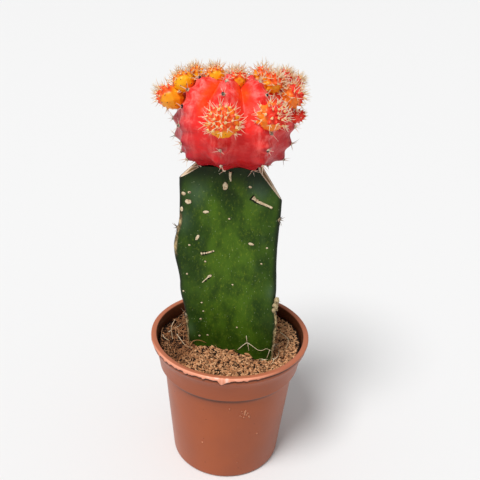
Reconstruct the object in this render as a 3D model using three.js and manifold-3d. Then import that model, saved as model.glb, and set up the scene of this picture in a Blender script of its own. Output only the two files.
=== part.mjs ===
// A grafted moon cactus in its nursery pot, in millimetres and +Z up.
// The origin is the centre of the pot's flat underside, and the front of the plant faces -Y.
import * as THREE from "three";
import { mergeVertices } from "three/addons/utils/BufferGeometryUtils.js";
import Module from "manifold-3d";

const wasm = await Module();
wasm.setup();

// Clearance between pieces that touch, and the depth to which a small piece is rooted in a larger one.
const GAP = 0.3;
const ROOTED = 0.35;

// The finest facet that is kept where pieces were joined, and how far beside the middle of its areole
// a spine stands, as a part of one facet.
const FINENESS = 0.07;
const BESIDE = 0.3;

const X_AXIS = new THREE.Vector3(1, 0, 0);
const Z_AXIS = new THREE.Vector3(0, 0, 1);

const POT = { rim: 27.5, collar: 26.2, ledge: 24.5, step: 22.7, foot: 19.5, wall: 1.1 };
const POT_LEVELS = { rim: 49.3, collar: 46.4, ledge: 38.4, step: 34.4 };
const POT_SEGMENTS = 40;
const DRAIN = { count: 6, radius: 2, circle: 11.5 };

const SOIL = { level: 45.2, relief: 0.35, rings: 9 };

// The rootstock's section: three ribs round an upright axis, the first one at the front left.
const STEM = {
  x: -0.3, y: 1.5, bottom: 26, top: 111.2, inradius: 8.0, tipRounding: 0.1,
  firstRib: THREE.MathUtils.degToRad(203),
};
const STEM_THIRD = (2 * Math.PI) / 3;
// The distance of each rib's edge from the axis at a few heights, as [height, distance].
const STEM_RIBS = [
  [[26, 14.6], [45, 15.3], [57, 16.0], [70, 18.4], [84, 20.3], [95, 18.5], [108, 18.9], [113, 18.9]],
  [[26, 17.4], [45, 18.8], [57, 19.3], [69, 17.9], [81, 17.2], [94, 17.3], [104, 17.5], [113, 17.5]],
  [[26, 14.5], [45, 16.6], [60, 18.4], [74, 18.9], [88, 18.0], [98, 18.3], [106, 18.4], [113, 18.4]],
];
// The facets round and along the stem, and how closely they crowd towards its ribs, in radians.
const STEM_FACETS = { around: 36, rows: 16, crowding: 0.16 };
// Where the knife cut each rib back: the height of the cut's shoulder at the rib's edge, how far it runs
// in before it meets the flat top, and how far it is turned from facing straight out.
const STEM_CUTS = [
  { shoulder: 106.8, run: 6.6, turn: THREE.MathUtils.degToRad(-20) },
  { shoulder: 102.3, run: 7.4, turn: THREE.MathUtils.degToRad(38) },
  { shoulder: 104.5, run: 7.0, turn: 0 },
];
// Areoles of the rootstock: the rib that carries each and its height.
const STEM_AREOLES = [[0, 90.5], [0, 58], [1, 96], [1, 50.5], [2, 92], [2, 66]];
const STEM_SPINES = { perAreole: 3, length: 1.4 };
const BUD = { rib: 1, height: 66.5, width: 1.5, length: 2.4 };

// The scion: meridian outlines of a rib and of a valley, as [radius, height from the scion's middle].
const HEAD = {
  x: -1.9, y: 0.8, z: 123.3, ribs: 8, hump: 0.95,
  firstRib: THREE.MathUtils.degToRad(-100), tilt: THREE.MathUtils.degToRad(-5),
};
const RIB_OUTLINE = [
  [0, -11.8], [6.8, -12.1], [11.0, -12.3], [15.0, -9.7], [17.0, -5.1], [17.6, -0.2],
  [16.8, 4.8], [14.9, 9.1], [11.6, 12.2], [7.6, 13.6], [3.6, 12.6], [0, 11.4],
];
const VALLEY_OUTLINE = [
  [0, -11.8], [6.2, -12.0], [10.3, -11.7], [14.1, -8.8], [15.8, -4.5], [15.8, -0.2],
  [14.1, 3.9], [11.8, 7.3], [9, 9.9], [6.2, 11.3], [3, 11.6], [0, 11.4],
];
const HEAD_MIDDLE = new THREE.Vector3(HEAD.x, HEAD.y, HEAD.z);
const OUTLINE_STEPS = RIB_OUTLINE.length - 1;
const HEAD_AREOLES = { first: 2, last: 9 };
const HEAD_FACETS = { aroundRib: 6, perStep: 3 };

// The offsets, each with its middle, half width, half height along its axis, ribs and colour, and the
// height of its studs where they are low.
const PUPS = [
  { name: "pup_front", at: [-4.6, -17.0, 127.0], wide: 4.3, tall: 4.5, ribs: 8, tone: "orange" },
  { name: "pup_front_right", at: [8.9, -13.9, 128.5], wide: 3.9, tall: 4.2, ribs: 8, tone: "red" },
  { name: "pup_left", at: [-20.4, -2.4, 130.3], wide: 3.3, tall: 4.2, ribs: 7, tone: "orange", studs: 0.21 },
  { name: "pup_left_crown", at: [-16.7, -2.2, 135], wide: 3.1, tall: 3, ribs: 7, tone: "yellow", studs: 0.15 },
  { name: "pup_left_small", at: [-13.2, 1.6, 136.6], wide: 2.2, tall: 2.4, ribs: 6, tone: "yellow" },
  { name: "pup_crown_left", at: [-7.6, -1.6, 137], wide: 2.8, tall: 2.7, ribs: 7, tone: "yellow", studs: 0.18 },
  { name: "pup_crown_middle", at: [-1.2, -5.0, 136.8], wide: 2.7, tall: 2.6, ribs: 7, tone: "orange" },
  { name: "pup_crown_right", at: [5.9, -0.6, 137.4], wide: 2.5, tall: 2.5, ribs: 6, tone: "orange" },
  { name: "pup_right_inner", at: [9.0, -3.4, 135.9], wide: 2.8, tall: 2.9, ribs: 7, tone: "orange" },
  { name: "pup_right", at: [14.9, -2.6, 132.3], wide: 3.3, tall: 3.3, ribs: 7, tone: "red" },
  { name: "pup_right_top", at: [12.2, 2.0, 136.4], wide: 2.5, tall: 2.6, ribs: 6, tone: "red" },
  { name: "pup_right_small", at: [16.2, 3.6, 134.9], wide: 2.0, tall: 2.2, ribs: 6, tone: "red" },
  { name: "pup_right_low", at: [16.6, -1.0, 126.1], wide: 1.9, tall: 2.7, ribs: 6, tone: "red" },
  { name: "pup_back_left", at: [-12.2, 10.6, 132.1], wide: 2.9, tall: 3.0, ribs: 7, tone: "orange" },
  { name: "pup_back_crown", at: [-3.0, 9.4, 133.8], wide: 2.5, tall: 2.6, ribs: 6, tone: "yellow" },
  { name: "pup_back", at: [3.6, 16.0, 129.6], wide: 3.3, tall: 3.4, ribs: 7, tone: "orange" },
  { name: "pup_back_right", at: [11.0, 10.8, 131.0], wide: 2.7, tall: 2.9, ribs: 6, tone: "red" },
];
const PUP_LIFT = 3;
const TUBERCLE = { height: 0.27, step: THREE.MathUtils.degToRad(20), rows: 9, lowest: 4 };
const SPINE = { radius: 0.2, long: 3.4, short: 2.3, sides: 3 };

const MATERIALS = {
  pot: new THREE.MeshStandardMaterial({ color: 0xb06543, roughness: 0.45, metalness: 0 }),
  soil: new THREE.MeshStandardMaterial({ color: 0x9a6a44, roughness: 0.95, metalness: 0 }),
  green: new THREE.MeshStandardMaterial({ color: 0x3c5c20, roughness: 0.5, metalness: 0 }),
  scarlet: new THREE.MeshStandardMaterial({ color: 0xe8353a, roughness: 0.45, metalness: 0 }),
  red: new THREE.MeshStandardMaterial({ color: 0xe04a30, roughness: 0.45, metalness: 0 }),
  orange: new THREE.MeshStandardMaterial({ color: 0xf07a28, roughness: 0.45, metalness: 0 }),
  yellow: new THREE.MeshStandardMaterial({ color: 0xf7ae22, roughness: 0.45, metalness: 0 }),
};

// Random numbers between 0 and 1 that are the same in every run.
function makeRandom(seed) {
  let state = seed;
  return () => {
    state = (state * 16807) % 2147483647;
    return state / 2147483647;
  };
}

// A closed geometry as a solid for cutting and joining.
function toSolid(geometry) {
  const bare = geometry.clone();
  bare.deleteAttribute("normal");
  bare.deleteAttribute("uv");
  const merged = mergeVertices(bare, 1e-4);
  return new wasm.Manifold(new wasm.Mesh({
    numProp: 3,
    vertProperties: new Float32Array(merged.attributes.position.array),
    triVerts: new Uint32Array(merged.index.array),
  }));
}

// A solid's largest body as a named mesh: scraps that a cut has left loose are dropped, and facets
// that differ by less than the fineness are made one.
function toMesh(name, solid, material) {
  const bodies = solid.simplify(FINENESS).decompose();
  bodies.sort((a, b) => b.volume() - a.volume());
  const made = bodies[0].getMesh();
  const geometry = new THREE.BufferGeometry();
  geometry.setAttribute("position", new THREE.BufferAttribute(new Float32Array(made.vertProperties), 3));
  geometry.setIndex(new THREE.BufferAttribute(new Uint32Array(made.triVerts), 1));
  geometry.computeVertexNormals();
  const mesh = new THREE.Mesh(geometry, material);
  mesh.name = name;
  return mesh;
}

// Moves every vertex of a geometry by a function that changes the vertex it is given.
function reshape(geometry, move) {
  const position = geometry.getAttribute("position");
  const vertex = new THREE.Vector3();
  for (let i = 0; i < position.count; i += 1) {
    vertex.fromBufferAttribute(position, i);
    move(vertex);
    position.setXYZ(i, vertex.x, vertex.y, vertex.z);
  }
  return geometry;
}

// A revolved outline round +Z. Its points run from the axis, or close on themselves.
function revolve(points, segments) {
  const outline = points.map(([radius, height]) => new THREE.Vector2(radius, height));
  return new THREE.LatheGeometry(outline, segments).rotateX(Math.PI / 2);
}

// The pot's inner wall as [radius, height] pairs from the floor to the lip, moved inwards by a gap.
function innerWall(gap) {
  const wall = POT.wall + gap;
  return [
    [POT.foot - wall, POT.wall + gap],
    [POT.step - wall, POT_LEVELS.step + 0.8],
    [POT.collar - wall, 43],
    [POT.collar - wall + 0.2, POT_LEVELS.rim - 1.8],
  ];
}

function makePot() {
  const { rim, collar, ledge, step, foot } = POT;
  const levels = POT_LEVELS;
  const outside = [
    [0, 0], [foot - 1.3, 0], [foot - 0.4, 0.3], [foot, 1.1],
    [step, levels.step], [step + 0.5, levels.step + 1.8], [ledge - 0.3, levels.ledge - 0.7],
    [ledge, levels.ledge], [collar - 0.4, 44], [collar, levels.collar],
    [rim - 0.5, levels.rim - 2.4], [rim, levels.rim - 1.8], [rim, levels.rim - 0.6],
    [rim - 0.5, levels.rim], [rim - 1.5, levels.rim],
  ];
  const inside = innerWall(0).reverse();
  let pot = toSolid(revolve([...outside, ...inside, [0, POT.wall]], POT_SEGMENTS));
  for (let i = 0; i < DRAIN.count; i += 1) {
    const angle = (i / DRAIN.count) * 2 * Math.PI;
    const hole = new THREE.CylinderGeometry(DRAIN.radius, DRAIN.radius, 6, 10).rotateX(Math.PI / 2);
    hole.translate(DRAIN.circle * Math.cos(angle), DRAIN.circle * Math.sin(angle), 0);
    pot = pot.subtract(toSolid(hole));
  }
  return pot;
}

// The height of the soil's rough top: a heap at the front left, and hollows at the right and the back.
function soilLevel(x, y) {
  const mound = (cx, cy, spread) => Math.exp(-((x - cx) ** 2 + (y - cy) ** 2) / spread ** 2);
  const shape = 1.7 * mound(-8, -11, 8) - 0.9 * mound(13, -10, 7) - 0.9 * mound(-17, 13, 9);
  const crumbs = Math.sin(2.1 * x + 0.7 * y) * Math.cos(1.9 * y - 0.5 * x) + Math.sin(1.1 * y - 2.6 * x);
  return SOIL.level + shape + SOIL.relief * crumbs;
}

function makeSoil(hole) {
  const [floor, step, collar] = innerWall(GAP);
  const reach = collar[0] + 0.1;
  const top = [];
  for (let i = 0; i <= SOIL.rings; i += 1) {
    top.push([reach * (1 - i / SOIL.rings), SOIL.level]);
  }
  const outline = [[0, floor[1]], floor, step, collar, ...top];
  const body = reshape(revolve(outline, POT_SEGMENTS), (v) => {
    if (v.z > SOIL.level - 0.01) {
      v.z = soilLevel(v.x, v.y);
    }
  });
  return toSolid(body).subtract(hole);
}

// The distance of a rib's edge from the stem's axis at a height.
function ribEdge(rib, height) {
  const points = STEM_RIBS[rib];
  let i = 0;
  while (i < points.length - 2 && height > points[i + 1][0]) {
    i += 1;
  }
  const [[z0, r0], [z1, r1]] = [points[i], points[i + 1]];
  const t = THREE.MathUtils.smoothstep(height, z0, z1);
  return r0 + (r1 - r0) * t;
}

// The stem's outline in polar form: nearly flat faces that meet in rounded ribs.
function stemRadius(angle, height) {
  const third = STEM_THIRD;
  const turned = THREE.MathUtils.euclideanModulo(angle - STEM.firstRib + third / 2, 2 * Math.PI);
  const rib = Math.floor(turned / third);
  const off = turned - rib * third - third / 2;
  const rounding = STEM.tipRounding;
  const bend = (a) => Math.sqrt(a * a + rounding * rounding);
  const fromTip = (bend(off) * (third / 2)) / bend(third / 2);
  const rise = (a) => 1 / Math.cos(third / 2 - a) - 1;
  const atTip = rise((bend(0) * (third / 2)) / bend(third / 2));
  return STEM.inradius + (ribEdge(rib, height) - STEM.inradius) * (rise(fromTip) / atTip);
}

// A point on a rib's edge of the rootstock, and the direction away from the axis there.
function onRib(rib, height) {
  const angle = STEM.firstRib + rib * STEM_THIRD;
  const outwards = new THREE.Vector3(Math.cos(angle), Math.sin(angle), 0);
  const point = outwards.clone().multiplyScalar(ribEdge(rib, height));
  point.add(new THREE.Vector3(STEM.x, STEM.y, height));
  return { point, outwards };
}

// The stem's body, grown outwards by a clearance on all sides.
function stemBody(grow) {
  const { around, rows, crowding } = STEM_FACETS;
  const low = STEM.bottom - grow;
  const high = STEM.top + grow;
  const upright = new THREE.CylinderGeometry(1, 1, 1, around, rows).rotateX(Math.PI / 2);
  const body = reshape(upright, (v) => {
    const spoke = Math.hypot(v.x, v.y);
    const even = Math.atan2(v.y, v.x);
    const angle = even - crowding * Math.sin(STEM_RIBS.length * even) + STEM.firstRib;
    const height = low + (v.z + 0.5) * (high - low);
    const radius = spoke * (stemRadius(angle, height) + grow);
    v.set(STEM.x + radius * Math.cos(angle), STEM.y + radius * Math.sin(angle), height);
  });
  let solid = toSolid(body);
  STEM_CUTS.forEach((cut, rib) => {
    solid = solid.subtract(toSolid(bevelKnife(rib, cut, grow)));
  });
  return solid;
}

// The wedge that a slanting cut takes off the top of one rib.
function bevelKnife(rib, cut, grow) {
  const { point, outwards } = onRib(rib, cut.shoulder);
  const facing = outwards.clone().applyAxisAngle(Z_AXIS, cut.turn);
  const slope = facing.clone().multiplyScalar(-cut.run).setZ(STEM.top - cut.shoulder).normalize();
  const across = Z_AXIS.clone().cross(facing);
  const away = across.clone().cross(slope);
  const size = 40;
  const block = new THREE.BoxGeometry(size, size, size).translate(0, 0, size / 2 + grow);
  return block.applyMatrix4(new THREE.Matrix4().makeBasis(across, slope, away).setPosition(point));
}

// A slim pointed spine whose foot is rooted just under a point.
function spineGeometry(foot, direction, length, radius) {
  const cone = new THREE.ConeGeometry(radius, length + ROOTED, SPINE.sides, 1);
  cone.translate(0, length / 2 - ROOTED / 2, 0);
  const turn = new THREE.Quaternion().setFromUnitVectors(new THREE.Vector3(0, 1, 0), direction);
  return cone.applyQuaternion(turn).translate(foot.x, foot.y, foot.z);
}

function makeRootstock(body, random) {
  let stem = body;
  for (const [rib, height] of STEM_AREOLES) {
    const { point, outwards } = onRib(rib, height);
    for (let i = 0; i < STEM_SPINES.perAreole; i += 1) {
      const spread = new THREE.Vector3(random() - 0.5, random() - 0.5, random() - 0.2);
      const direction = outwards.clone().add(spread).normalize();
      stem = stem.add(toSolid(spineGeometry(point, direction, STEM_SPINES.length, SPINE.radius)));
    }
  }
  const { point } = onRib(BUD.rib, BUD.height);
  const bud = new THREE.SphereGeometry(1, 10, 8).scale(BUD.width, BUD.width, BUD.length);
  return stem.add(toSolid(bud.translate(point.x, point.y, point.z)));
}

const RIB_CURVE = new THREE.SplineCurve(RIB_OUTLINE.map(([r, z]) => new THREE.Vector2(r, z)));
const VALLEY_CURVE = new THREE.SplineCurve(VALLEY_OUTLINE.map(([r, z]) => new THREE.Vector2(r, z)));

// A point on the scion at an angle round it and a place from 0 at the base to 1 at the crown.
function headPoint(angle, place, grow = 0) {
  const crest = RIB_CURVE.getPoint(place);
  const valley = VALLEY_CURVE.getPoint(place);
  const ridge = Math.abs(Math.cos((HEAD.ribs / 2) * (angle - HEAD.firstRib)));
  const step = place * OUTLINE_STEPS;
  const shown = THREE.MathUtils.smoothstep(step, 1.2, 3) * (1 - THREE.MathUtils.smoothstep(step, 9, 9.8));
  const hump = HEAD.hump * shown * ridge ** 3 * Math.cos(Math.PI * step) ** 2;
  const across = valley.lerp(crest, ridge ** 0.75);
  across.setLength(across.length() + hump + grow);
  const point = new THREE.Vector3(across.x * Math.cos(angle), across.x * Math.sin(angle), across.y);
  return point.applyAxisAngle(X_AXIS, HEAD.tilt).add(HEAD_MIDDLE);
}

function headBody(grow) {
  const columns = HEAD.ribs * HEAD_FACETS.aroundRib;
  const rows = OUTLINE_STEPS * HEAD_FACETS.perStep;
  const ball = new THREE.SphereGeometry(1, columns, rows).rotateX(Math.PI / 2);
  return toSolid(reshape(ball, (v) => {
    const angle = Math.atan2(v.y, v.x) + HEAD.firstRib;
    const place = Math.acos(THREE.MathUtils.clamp(-v.z, -1, 1)) / Math.PI;
    v.copy(headPoint(angle, place, grow));
  }));
}

// The areoles of the scion, each with its place and the way out from it.
function headAreoles() {
  const areoles = [];
  const beside = (BESIDE * 2 * Math.PI) / (HEAD.ribs * HEAD_FACETS.aroundRib);
  for (let rib = 0; rib < HEAD.ribs; rib += 1) {
    const angle = HEAD.firstRib + (rib * 2 * Math.PI) / HEAD.ribs;
    for (let step = HEAD_AREOLES.first; step <= HEAD_AREOLES.last; step += 1) {
      const foot = headPoint(angle + beside, (step + BESIDE / HEAD_FACETS.perStep) / OUTLINE_STEPS);
      const outwards = foot.clone().sub(HEAD_MIDDLE).normalize();
      areoles.push({ foot, outwards, long: SPINE.long, count: 1 + ((rib + step) % 2) });
    }
  }
  return areoles;
}

// The middle of an offset, and the turn of its axis, which leans out of the scion and a little upwards.
function pupFrame(pup) {
  const middle = new THREE.Vector3(...pup.at);
  const axis = middle.clone().sub(HEAD_MIDDLE).addScaledVector(Z_AXIS, PUP_LIFT).normalize();
  const turn = new THREE.Quaternion().setFromUnitVectors(Z_AXIS, axis);
  return { middle, turn };
}

// A point on an offset: tubercles stand on it in staggered rows, like the studs of a pineapple.
function pupPoint(pup, frame, around, down, grow = 0) {
  const stud = (1 + Math.cos(pup.ribs * around) * Math.cos((Math.PI * down) / TUBERCLE.step)) / 2;
  const shown = THREE.MathUtils.smoothstep(down, 0.1, 0.3);
  const swell = 1 + (pup.studs ?? TUBERCLE.height) * (shown * stud ** 2 - 0.35);
  const point = new THREE.Vector3(
    pup.wide * Math.sin(down) * Math.cos(around),
    pup.wide * Math.sin(down) * Math.sin(around),
    pup.tall * Math.cos(down),
  );
  point.multiplyScalar(swell);
  point.setLength(point.length() + grow);
  return point.applyQuaternion(frame.turn).add(frame.middle);
}

// A ball whose squares are split across the two corners that lie between studs, not along them.
function studdedBall(columns, rows) {
  const ball = new THREE.SphereGeometry(1, columns, rows);
  const faces = [];
  for (let row = 0; row < rows; row += 1) {
    for (let column = 0; column < columns; column += 1) {
      const left = row * (columns + 1) + column;
      const [a, b, c, d] = [left + 1, left, left + columns + 1, left + columns + 2];
      const split = (row + column) % 2 === 0 ? [[a, b, c], [a, c, d]] : [[a, b, d], [b, c, d]];
      const edge = row === 0 ? [[b, c, d]] : [[a, b, c]];
      faces.push(...(row === 0 || row === rows - 1 ? edge : split).flat());
    }
  }
  ball.setIndex(faces);
  return ball.rotateX(Math.PI / 2).rotateZ(Math.PI);
}

function pupBody(pup, grow) {
  const frame = pupFrame(pup);
  const ball = studdedBall(pup.ribs * 2, TUBERCLE.rows);
  return toSolid(reshape(ball, (v) => {
    const down = Math.acos(THREE.MathUtils.clamp(v.z, -1, 1));
    v.copy(pupPoint(pup, frame, Math.atan2(v.y, v.x), down, grow));
  }));
}

// The areoles of an offset that bear a spine: two tubercles of every three, down to the lowest row.
function pupAreoles(pup) {
  const frame = pupFrame(pup);
  const areoles = [];
  for (let row = 1; row <= TUBERCLE.lowest; row += 1) {
    const down = (row + BESIDE) * TUBERCLE.step;
    for (let rib = 0; rib < pup.ribs; rib += 1) {
      const around = ((rib + (row % 2) / 2 + BESIDE / 2) * 2 * Math.PI) / pup.ribs;
      const foot = pupPoint(pup, frame, around, down);
      const outwards = foot.clone().sub(frame.middle).normalize();
      const count = (rib + row) % 3 === 0 ? 0 : 1;
      areoles.push({ foot, outwards, long: SPINE.short, count });
    }
  }
  return areoles;
}

// Spines for a list of areoles. One that would meet another piece is turned further out, or left out.
function growSpines(areoles, others, random) {
  const grown = [];
  for (const { foot, outwards, long, count } of areoles) {
    for (let i = 0; i < count; i += 1) {
      const spread = new THREE.Vector3(random() - 0.5, random() - 0.5, random() - 0.3);
      const length = long * (0.75 + 0.5 * random());
      for (const lean of [1.5, 0.7, 0.2]) {
        const direction = outwards.clone().addScaledVector(spread, lean).normalize();
        const wide = toSolid(spineGeometry(foot, direction, length + GAP, SPINE.radius + GAP));
        if (others.intersect(wide).volume() < 1e-6) {
          grown.push({ solid: toSolid(spineGeometry(foot, direction, length, SPINE.radius)), wide });
          break;
        }
      }
    }
  }
  return grown;
}

function join(solids) {
  return solids.reduce((whole, solid) => whole.add(solid));
}

const random = makeRandom(29);
const stem = stemBody(0);
const soilHole = stemBody(GAP);
const rootstock = makeRootstock(stem, random);

// The growths on the rootstock: the scion, then the offsets, each cut clear of those before it.
const growths = [
  { name: "scion", tone: "scarlet", body: headBody(0), clear: headBody(GAP), areoles: headAreoles() },
  ...PUPS.map((pup) => ({
    name: pup.name,
    tone: pup.tone,
    body: pupBody(pup, 0),
    clear: pupBody(pup, GAP),
    areoles: pupAreoles(pup),
  })),
];
growths.forEach((growth, i) => {
  const earlier = join([soilHole, ...growths.slice(0, i).map((other) => other.clear)]);
  growth.body = growth.body.subtract(earlier);
});
growths.forEach((growth) => {
  const rest = growths.filter((other) => other !== growth).map((other) => other.clear);
  const spines = growSpines(growth.areoles, join([soilHole, ...rest]), random);
  growth.body = join([growth.body, ...spines.map((spine) => spine.solid)]);
  growth.clear = join([growth.clear, ...spines.map((spine) => spine.wide)]);
});

const cactus = new THREE.Group();
cactus.add(toMesh("pot", makePot(), MATERIALS.pot));
cactus.add(toMesh("soil", makeSoil(soilHole), MATERIALS.soil));
cactus.add(toMesh("rootstock", rootstock, MATERIALS.green));
for (const { name, body, tone } of growths) {
  cactus.add(toMesh(name, body, MATERIALS[tone]));
}

export default cactus;
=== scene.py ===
"""Looks of a grafted moon cactus in its nursery pot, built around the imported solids.

The classes hold their sizes in millimetres, with +Z up and the front towards -Y, as the solids do.
Every mesh is scaled to metres when it is handed over, so each piece lies in the frame of the solids.
"""

import logging
import math
import random
from dataclasses import dataclass, field, replace
from enum import Enum
from typing import Callable, ClassVar, Mapping, Sequence

import bmesh
import bpy
from mathutils import Matrix, Vector, noise

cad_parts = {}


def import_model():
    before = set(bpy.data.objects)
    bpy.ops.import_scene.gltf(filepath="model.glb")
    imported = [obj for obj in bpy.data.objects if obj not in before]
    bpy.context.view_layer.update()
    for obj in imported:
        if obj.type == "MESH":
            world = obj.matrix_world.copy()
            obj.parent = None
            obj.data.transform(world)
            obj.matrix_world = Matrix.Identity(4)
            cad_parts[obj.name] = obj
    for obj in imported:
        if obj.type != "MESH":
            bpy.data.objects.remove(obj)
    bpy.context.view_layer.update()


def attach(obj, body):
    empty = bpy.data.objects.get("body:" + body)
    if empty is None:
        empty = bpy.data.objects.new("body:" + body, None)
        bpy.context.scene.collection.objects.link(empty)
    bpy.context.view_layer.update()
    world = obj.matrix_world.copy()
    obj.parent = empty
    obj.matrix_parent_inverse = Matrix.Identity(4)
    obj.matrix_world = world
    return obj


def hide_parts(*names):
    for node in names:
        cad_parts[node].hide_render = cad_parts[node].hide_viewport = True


LOG = logging.getLogger("moon_cactus")
MM = 0.001
TAU = 2 * math.pi
SEAM = 1e-4
Z_AXIS = Vector((0, 0, 1))
BMesh = bmesh.types.BMesh
Socket = bpy.types.NodeSocket
Number = float | Socket
Inputs = Mapping[str | int, object]
Wired = dict[str, Socket]
Colour = tuple[float, float, float]
Path = Callable[[float], Vector]
Placing = Callable[[Vector], Vector]
Line = tuple[tuple[float, float], ...]
Spots = tuple[tuple[float, float, float], ...]


class Slot(Enum):
    """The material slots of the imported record."""

    POT = "pot"
    SOIL = "soil"
    ROOTSTOCK = "rootstock"
    SCION = "scion"
    YELLOW = "pup_yellow"
    ORANGE = "pup_orange"
    RED = "pup_red"


def smoothstep(value: float, low: float, high: float) -> float:
    """Returns 0 below low, 1 above high and a smooth rise between them."""
    t = min(1.0, max(0.0, (value - low) / (high - low)))
    return t * t * (3 - 2 * t)


def mix(a: float, b: float, t: float) -> float:
    """Returns the value a part t of the way from a to b."""
    return a + (b - a) * t


def turned(angle: float, radius: float = 1.0, height: float = 0.0) -> Vector:
    """Returns the point at an angle, a radius and a height round the Z axis."""
    return Vector((radius * math.cos(angle), radius * math.sin(angle), height))


def along(points: Sequence[Vector], place: float) -> Vector:
    """Follows a smooth curve through points.

    Args:
        points: What the curve passes through, in order.
        place: From 0 at the first point to 1 at the last.

    Returns:
        The point on the curve.
    """
    last = len(points) - 1
    step = last * min(1.0, max(0.0, place))
    i = min(int(step), last - 1)
    t = step - i
    p0, p1, p2, p3 = (points[min(last, max(0, j))] for j in (i - 1, i, i + 1, i + 2))
    v0 = (p2 - p0) * 0.5
    v1 = (p3 - p1) * 0.5
    cubic = (2 * p1 - 2 * p2 + v0 + v1) * t**3
    return cubic + (-3 * p1 + 3 * p2 - 2 * v0 - v1) * t**2 + v0 * t + p1


def lumps(point: Vector, size: float, octaves: int = 3) -> float:
    """Returns smooth noise near -1 to 1 whose largest lumps are a size across, in millimetres."""
    return noise.fractal(point / size, 1.0, 2.0, octaves)


def recalculated(bm: BMesh) -> BMesh:
    """Turns all faces of a closed mesh outwards and returns the mesh."""
    bmesh.ops.recalc_face_normals(bm, faces=bm.faces)
    return bm


def tall_edges(bm: BMesh, height: float) -> list[bmesh.types.BMEdge]:
    """Returns the edges that rise by more than a height."""
    return [edge for edge in bm.edges if abs(edge.verts[0].co.z - edge.verts[1].co.z) > height]


def stamp(bm: BMesh, name: str, value: Callable[[Vector], float]) -> None:
    """Stores a number on each vertex for the materials to read.

    Args:
        bm: The mesh.
        name: The attribute's name.
        value: Gives the number from the vertex's place.
    """
    layer = bm.verts.layers.float.get(name) or bm.verts.layers.float.new(name)
    for vertex in bm.verts:
        vertex[layer] = value(vertex.co)


def number_layers(bm: BMesh, *names: str) -> list[bmesh.types.BMLayerItem]:
    """Gives the vertices numbers for the materials to read.

    Args:
        bm: The mesh.
        *names: The names of the attributes.

    Returns:
        Their layers, in the same order.
    """
    for name in names:
        bm.verts.layers.float.new(name)
    return [bm.verts.layers.float[name] for name in names]


def ball(columns: int, rows: int) -> BMesh:
    """Makes a round unit ball with its poles on the Z axis.

    Args:
        columns: How many faces it has round.
        rows: How many faces it has from pole to pole.

    Returns:
        The mesh.
    """
    bm = bmesh.new()
    bmesh.ops.create_uvsphere(bm, u_segments=columns, v_segments=rows, radius=1)
    return bm


def pebble_shape(detail: int) -> BMesh:
    """Makes a small ball of triangles.

    Args:
        detail: How often its faces are divided.

    Returns:
        The mesh.
    """
    bm = bmesh.new()
    bmesh.ops.create_icosphere(bm, subdivisions=detail, radius=1)
    return bm


def rod(sides: int, rings: int, middle: float = 0.0) -> BMesh:
    """Makes an upright round rod of radius 1 and length 1.

    Args:
        sides: How many sides it has.
        rings: How many rings of vertices lie between its ends.
        middle: The height of its middle.

    Returns:
        The mesh.
    """
    bm = bmesh.new()
    place = Matrix.Translation((0, 0, middle))
    bmesh.ops.create_cone(
        bm, cap_ends=True, segments=sides, radius1=1, radius2=1, depth=1, matrix=place
    )
    bmesh.ops.subdivide_edges(bm, edges=tall_edges(bm, 0.5), cuts=rings, use_grid_fill=True)
    return bm


def strand_shape(sides: int, rings: int, tip: float, shoulder: float = 1.0) -> BMesh:
    """Makes a tapering round rod from 0 to 1 along Z, for bending.

    Args:
        sides: How many sides it has.
        rings: How many rings lie between its ends.
        tip: The radius at its far end, as a part of that at its foot.
        shoulder: Above 1, the rod keeps its width for longer before it thins.

    Returns:
        The mesh.
    """
    bm = rod(sides, rings, middle=0.5)
    for vertex in bm.verts:
        width = mix(1, tip, vertex.co.z**shoulder)
        vertex.co.x *= width
        vertex.co.y *= width
    return recalculated(bm)


def revolve(outline: Sequence[tuple[float, float]], steps: int) -> BMesh:
    """Spins an outline round the Z axis to a closed mesh.

    Args:
        outline: Its radii and heights, which start and end on the axis.
        steps: How many faces the mesh has round.

    Returns:
        The mesh.
    """
    bm = bmesh.new()
    corners = [bm.verts.new((radius, 0, height)) for radius, height in outline]
    edges = [bm.edges.new(pair) for pair in zip(corners, corners[1:])]
    bmesh.ops.spin(
        bm, geom=corners + edges, cent=(0, 0, 0), axis=(0, 0, 1), angle=TAU, steps=steps, use_merge=True
    )
    bmesh.ops.remove_doubles(bm, verts=bm.verts, dist=SEAM)
    return recalculated(bm)


def stored(bm: BMesh, name: str) -> bpy.types.Mesh:
    """Stores a mesh under a name, and frees what it was made with.

    Args:
        bm: The mesh.
        name: The name.

    Returns:
        The stored mesh.
    """
    mesh = bpy.data.meshes.new(name)
    bm.to_mesh(mesh)
    bm.free()
    return mesh


def linked(name: str, data: bpy.types.ID) -> bpy.types.Object:
    """Makes an object of the scene.

    Args:
        name: The object's name.
        data: Its mesh, lamp or camera.

    Returns:
        The object.
    """
    thing = bpy.data.objects.new(name, data)
    bpy.context.scene.collection.objects.link(thing)
    return thing


def publish(
    bm: BMesh,
    name: str,
    slot: Slot,
    materials: Sequence[bpy.types.Material],
    replaced: Sequence[str] = (),
    sharp: float | None = None,
) -> bpy.types.Object:
    """Makes a mesh in millimetres a piece of the object, in metres.

    Args:
        bm: The mesh, which is freed.
        name: The piece's name.
        slot: The record's slot; it is not used.
        materials: Its materials, in the order of its faces' indices.
        replaced: The nodes that it stands for.
        sharp: The angle in degrees above which an edge stays sharp, or None for a smooth piece.

    Returns:
        The object that was made.
    """
    bmesh.ops.scale(bm, vec=(MM, MM, MM), verts=bm.verts)
    for face in bm.faces:
        face.smooth = True
    mesh = stored(bm, name)
    if sharp is not None:
        mesh.set_sharp_from_angle(angle=math.radians(sharp))
    for material in materials:
        mesh.materials.append(material)
    piece = linked(name, mesh)
    if replaced:
        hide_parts(*replaced)
    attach(piece, "root")
    LOG.info("%s: %d vertices, %d faces", name, len(mesh.vertices), len(mesh.polygons))
    return piece


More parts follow.
